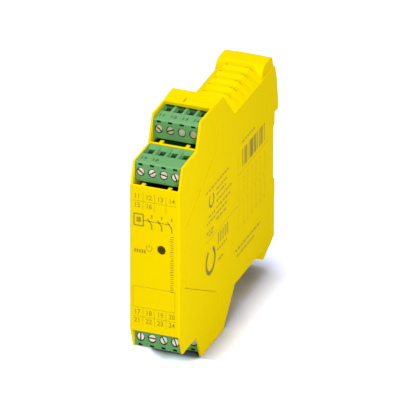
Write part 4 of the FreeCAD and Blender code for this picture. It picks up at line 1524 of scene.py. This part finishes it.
@dataclass
class RailLatch:
    """Latch that holds the lower edge of the rail, and its spring."""

    wire_radius: float = 0.22 * MM
    turns: float = 5.0
    rounding: float = 0.2 * MM

    def build(self, wardrobe: Wardrobe, coils: ShapeSheet) -> None:
        """Builds the latch and winds its spring.

        Args:
            wardrobe: Where the finishes come from.
            coils: The tree that winds the spring.
        """
        Moulding("rail_latch", "rail_latch", Slot.LATCH, rounding=self.rounding).build(wardrobe)
        low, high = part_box("latch_spring")
        middle = middle_of("latch_spring")
        radius = (high.y - low.y) / 2 - self.wire_radius
        spring = coils.grow("latch_spring_wound", wardrobe.material(Slot.SPRING),
                            Place=Vector((middle.x, middle.y, low.z + self.wire_radius)), Coil_radius=radius,
                            Wire_radius=self.wire_radius, Turns=self.turns,
                            Height=high.z - low.z - 2 * self.wire_radius)
        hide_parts("latch_spring")
        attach(spring, "case")
        log.info("rail latch and spring")


@dataclass
class Inside:
    """Board and the parts that it carries."""

    finishes: tuple[tuple[str, Slot], ...] = (
        ("circuit_board", Slot.BOARD),
        ("relay_upper", Slot.RELAY_CAN),
        ("relay_lower", Slot.RELAY_CAN),
        ("smoothing_capacitor", Slot.CAPACITOR),
        ("surge_suppressor", Slot.SUPPRESSOR),
    )

    def build(self, wardrobe: Wardrobe) -> None:
        """Dresses the parts inside the case.

        Args:
            wardrobe: Where the finishes come from.
        """
        for node, slot in self.finishes:
            wardrobe.dress(node_object(node), slot)
        log.info("board and its parts")


# ---------------------------------------------------------------------------- studio
@dataclass(frozen=True)
class Softbox:
    """A square soft light that the camera doesn't see."""

    name: str
    place: Vector
    size: float
    power: float

    def hang(self, aim: Vector) -> None:
        """Hangs the light so that it faces a point.

        Args:
            aim: The point that it faces.
        """
        data = bpy.data.lights.new(self.name, "AREA")
        data.energy, data.size = self.power, self.size
        lamp = bpy.data.objects.new(self.name, data)
        lamp.location = self.place
        lamp.rotation_euler = (self.place - aim).to_track_quat("Z", "Y").to_euler()
        lamp.visible_camera = False
        bpy.context.collection.objects.link(lamp)


@dataclass(frozen=True)
class Studio:
    """Floor, light and camera.

    The camera looks down at the relay while its picture plane leans back only a little, as in a
    view camera with a raised back. So upright edges stay parallel and almost keep their length.
    A painted shadow darkens the floor's look close to the relay, and painted light lifts it again
    in front of it. Only the lamps, floor_bounce and world_fill light the relay: floor_seen is for the
    camera's own rays, and the mirrored values are for what metal and glass show.
    """

    azimuth: float = math.radians(20.92)
    look_down: float = math.radians(25.26)
    lean_back: float = math.radians(2.99)
    width_in_view: float = 169.0 * MM
    middle: Vector = Vector((0.0, -55 * MM, 0.0))
    middle_off_centre: tuple[float, float] = (0.61 * MM, -0.27 * MM)
    distance: float = 7.0
    sensor: float = 36.0
    clip: tuple[float, float] = (0.1, 20.0)
    lamps: tuple[Softbox, ...] = (
        Softbox("key", Vector((-0.2, -0.25, 1.3)), 1.3, 17.8),
        Softbox("side", Vector((0.3, -0.36, 0.14)), 0.2, 0.78),
    )
    world_fill: float = 0.2
    world_mirrored: float = 0.8
    floor_half: float = 12.0
    floor_bounce: float = 0.85
    floor_mirrored: float = 0.95
    floor_seen: tuple[float, float, float] = (1.34, 1.42, 1.9)
    # painted shadow on the floor near the relay: ambient occlusion's reach, the span it ramps over and the
    # darkest share
    contact_reach: float = 18 * MM
    contact_span: tuple[float, float] = (0.35, 0.9)
    contact_shade: float = 0.18
    # painted light that brightens the floor in front of the relay, ramped over this span of Y
    front_span: tuple[float, float] = (-86 * MM, -95 * MM)
    front_lift: float = 3.2
    floor_gap: float = 0.03 * MM

    def build(self) -> None:
        """Builds the studio."""
        self.light()
        self.floor()
        self.camera()
        log.info("studio")

    def camera(self) -> None:
        """Places the camera on the line of sight, on a stand with an oblique frame."""
        right = Vector((math.cos(self.azimuth), math.sin(self.azimuth), 0.0))
        ahead = Vector((-math.sin(self.azimuth), math.cos(self.azimuth), 0.0))
        upright = Vector((0.0, 0.0, 1.0))
        up = ahead * math.sin(self.lean_back) + upright * math.cos(self.lean_back)
        sight = ahead * math.cos(self.look_down) - upright * math.sin(self.look_down)
        data = bpy.data.cameras.new("camera")
        data.sensor_width = self.sensor
        data.lens = self.sensor * self.distance / self.width_in_view
        data.clip_start, data.clip_end = self.clip
        camera = bpy.data.objects.new("camera", data)
        stand = bpy.data.objects.new("camera_stand", None)
        for thing in (camera, stand):
            bpy.context.collection.objects.link(thing)
        aim = self.middle + right * self.middle_off_centre[0] + up * self.middle_off_centre[1]
        frame = Matrix((right, up, -sight)).transposed().to_4x4()
        camera.parent = stand
        camera.matrix_parent_inverse = Matrix.Translation(aim - sight * self.distance) @ frame
        bpy.context.scene.camera = camera

    def light(self) -> None:
        """Sets a soft key above, a soft front and a plain white surrounding."""
        world = bpy.data.worlds.new("studio")
        bpy.context.scene.world = world
        world.use_nodes = True
        sheet = NodeSheet(world.node_tree)
        plain = world.node_tree.nodes["Background"]
        plain.inputs["Color"].default_value = (1.0, 1.0, 1.0, 1.0)
        path = sheet.add("ShaderNodeLightPath").outputs
        seen = sheet.maths("MAXIMUM", path["Is Camera Ray"], path["Is Transmission Ray"])
        mirrored = sheet.maths("MULTIPLY", path["Is Glossy Ray"], self.world_mirrored)
        strength = sheet.ramp(sheet.maths("MAXIMUM", seen, mirrored), 0.0, 1.0, low=self.world_fill)
        world.node_tree.links.new(strength, plain.inputs["Strength"])
        for lamp in self.lamps:
            lamp.hang(self.middle)

    def floor(self) -> None:
        """Lays a wide pale floor under the relay; it keeps the relay's shadow, and a painted shadow darkens
        it close to the relay.
        """
        half, z = self.floor_half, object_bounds()[0].z - self.floor_gap
        mesh = bpy.data.meshes.new("floor")
        corners = [(-half, -half, z), (half, -half, z), (half, half, z), (-half, half, z)]
        mesh.from_pydata(corners, [], [(0, 1, 2, 3)])
        mesh.materials.append(self.floor_material())
        new_piece("floor", mesh)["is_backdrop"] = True

    def floor_material(self) -> bpy.types.Material:
        """Makes the floor's finish, with one colour as light and another as it is seen, which holds a painted
        shadow near the relay and painted light in front of it.

        Returns:
            The material.
        """
        material = bpy.data.materials.new("floor")
        material.use_nodes = True
        material.node_tree.nodes.clear()
        sheet = NodeSheet(material.node_tree)
        path = sheet.add("ShaderNodeLightPath").outputs
        mirrored = sheet.maths("MAXIMUM", path["Is Glossy Ray"], path["Is Transmission Ray"])
        lit = sheet.ramp(mirrored, 0.0, 1.0, self.floor_bounce, self.floor_mirrored)
        # painted shadow: ambient occlusion darkens the floor as seen close to the relay
        around = sheet.add("ShaderNodeAmbientOcclusion", {"Distance": self.contact_reach}, samples=16)
        contact = sheet.ramp(around.outputs["AO"], *self.contact_span, low=self.contact_shade)
        place = sheet.add("ShaderNodeNewGeometry").outputs["Position"]
        depth = sheet.add("ShaderNodeSeparateXYZ", {0: place}).outputs["Y"]
        # painted light: the floor as seen is lifted in front of the relay
        lift = sheet.maths("SUBTRACT", self.front_lift, contact)
        share = sheet.maths("MULTIPLY_ADD", sheet.ramp(depth, *self.front_span), lift, contact)
        # floor_seen is bluish so that the relay's yellow light in the floor's shadow reads grey
        white = sheet.add("ShaderNodeVectorMath", {0: self.floor_seen, "Scale": share}, operation="SCALE")
        seen = sheet.mix(path["Is Camera Ray"], lit, white.outputs[0])
        matte = sheet.add("ShaderNodeBsdfDiffuse", {"Color": seen})
        sheet.add("ShaderNodeOutputMaterial", {"Surface": matte.outputs[0]})
        return material


# ---------------------------------------------------------------------------- making
BLOCKS = (
    TerminalBlock("top_front", False, 15, 2, (-35, 35, -10, -65)),
    TerminalBlock("top_rear", False, 11, 4, (-40, 20, 75, -30)),
    TerminalBlock("bottom_front", True, 21, 4, (90, 0, -60, -70)),
    TerminalBlock("bottom_rear", True, 17, 4, (15, -50, 60, -20)),
)


def main() -> None:
    """Builds every sub-assembly in order."""
    logging.basicConfig(level=logging.INFO, format="%(name)s: %(message)s")
    FRAME.update(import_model())
    bpy.context.scene.view_settings.view_transform = "Standard"
    wardrobe = Wardrobe()
    screws, bars, coils = screw_tree(), bar_field_tree(), coil_tree()
    Studio().build()
    Housing().build(wardrobe, bars)
    for block in BLOCKS:
        block.build(wardrobe, screws)
    StatusLamp().build(wardrobe)
    RailLatch().build(wardrobe, coils)
    Inside().build(wardrobe)


if __name__ == "__main__":
    main()
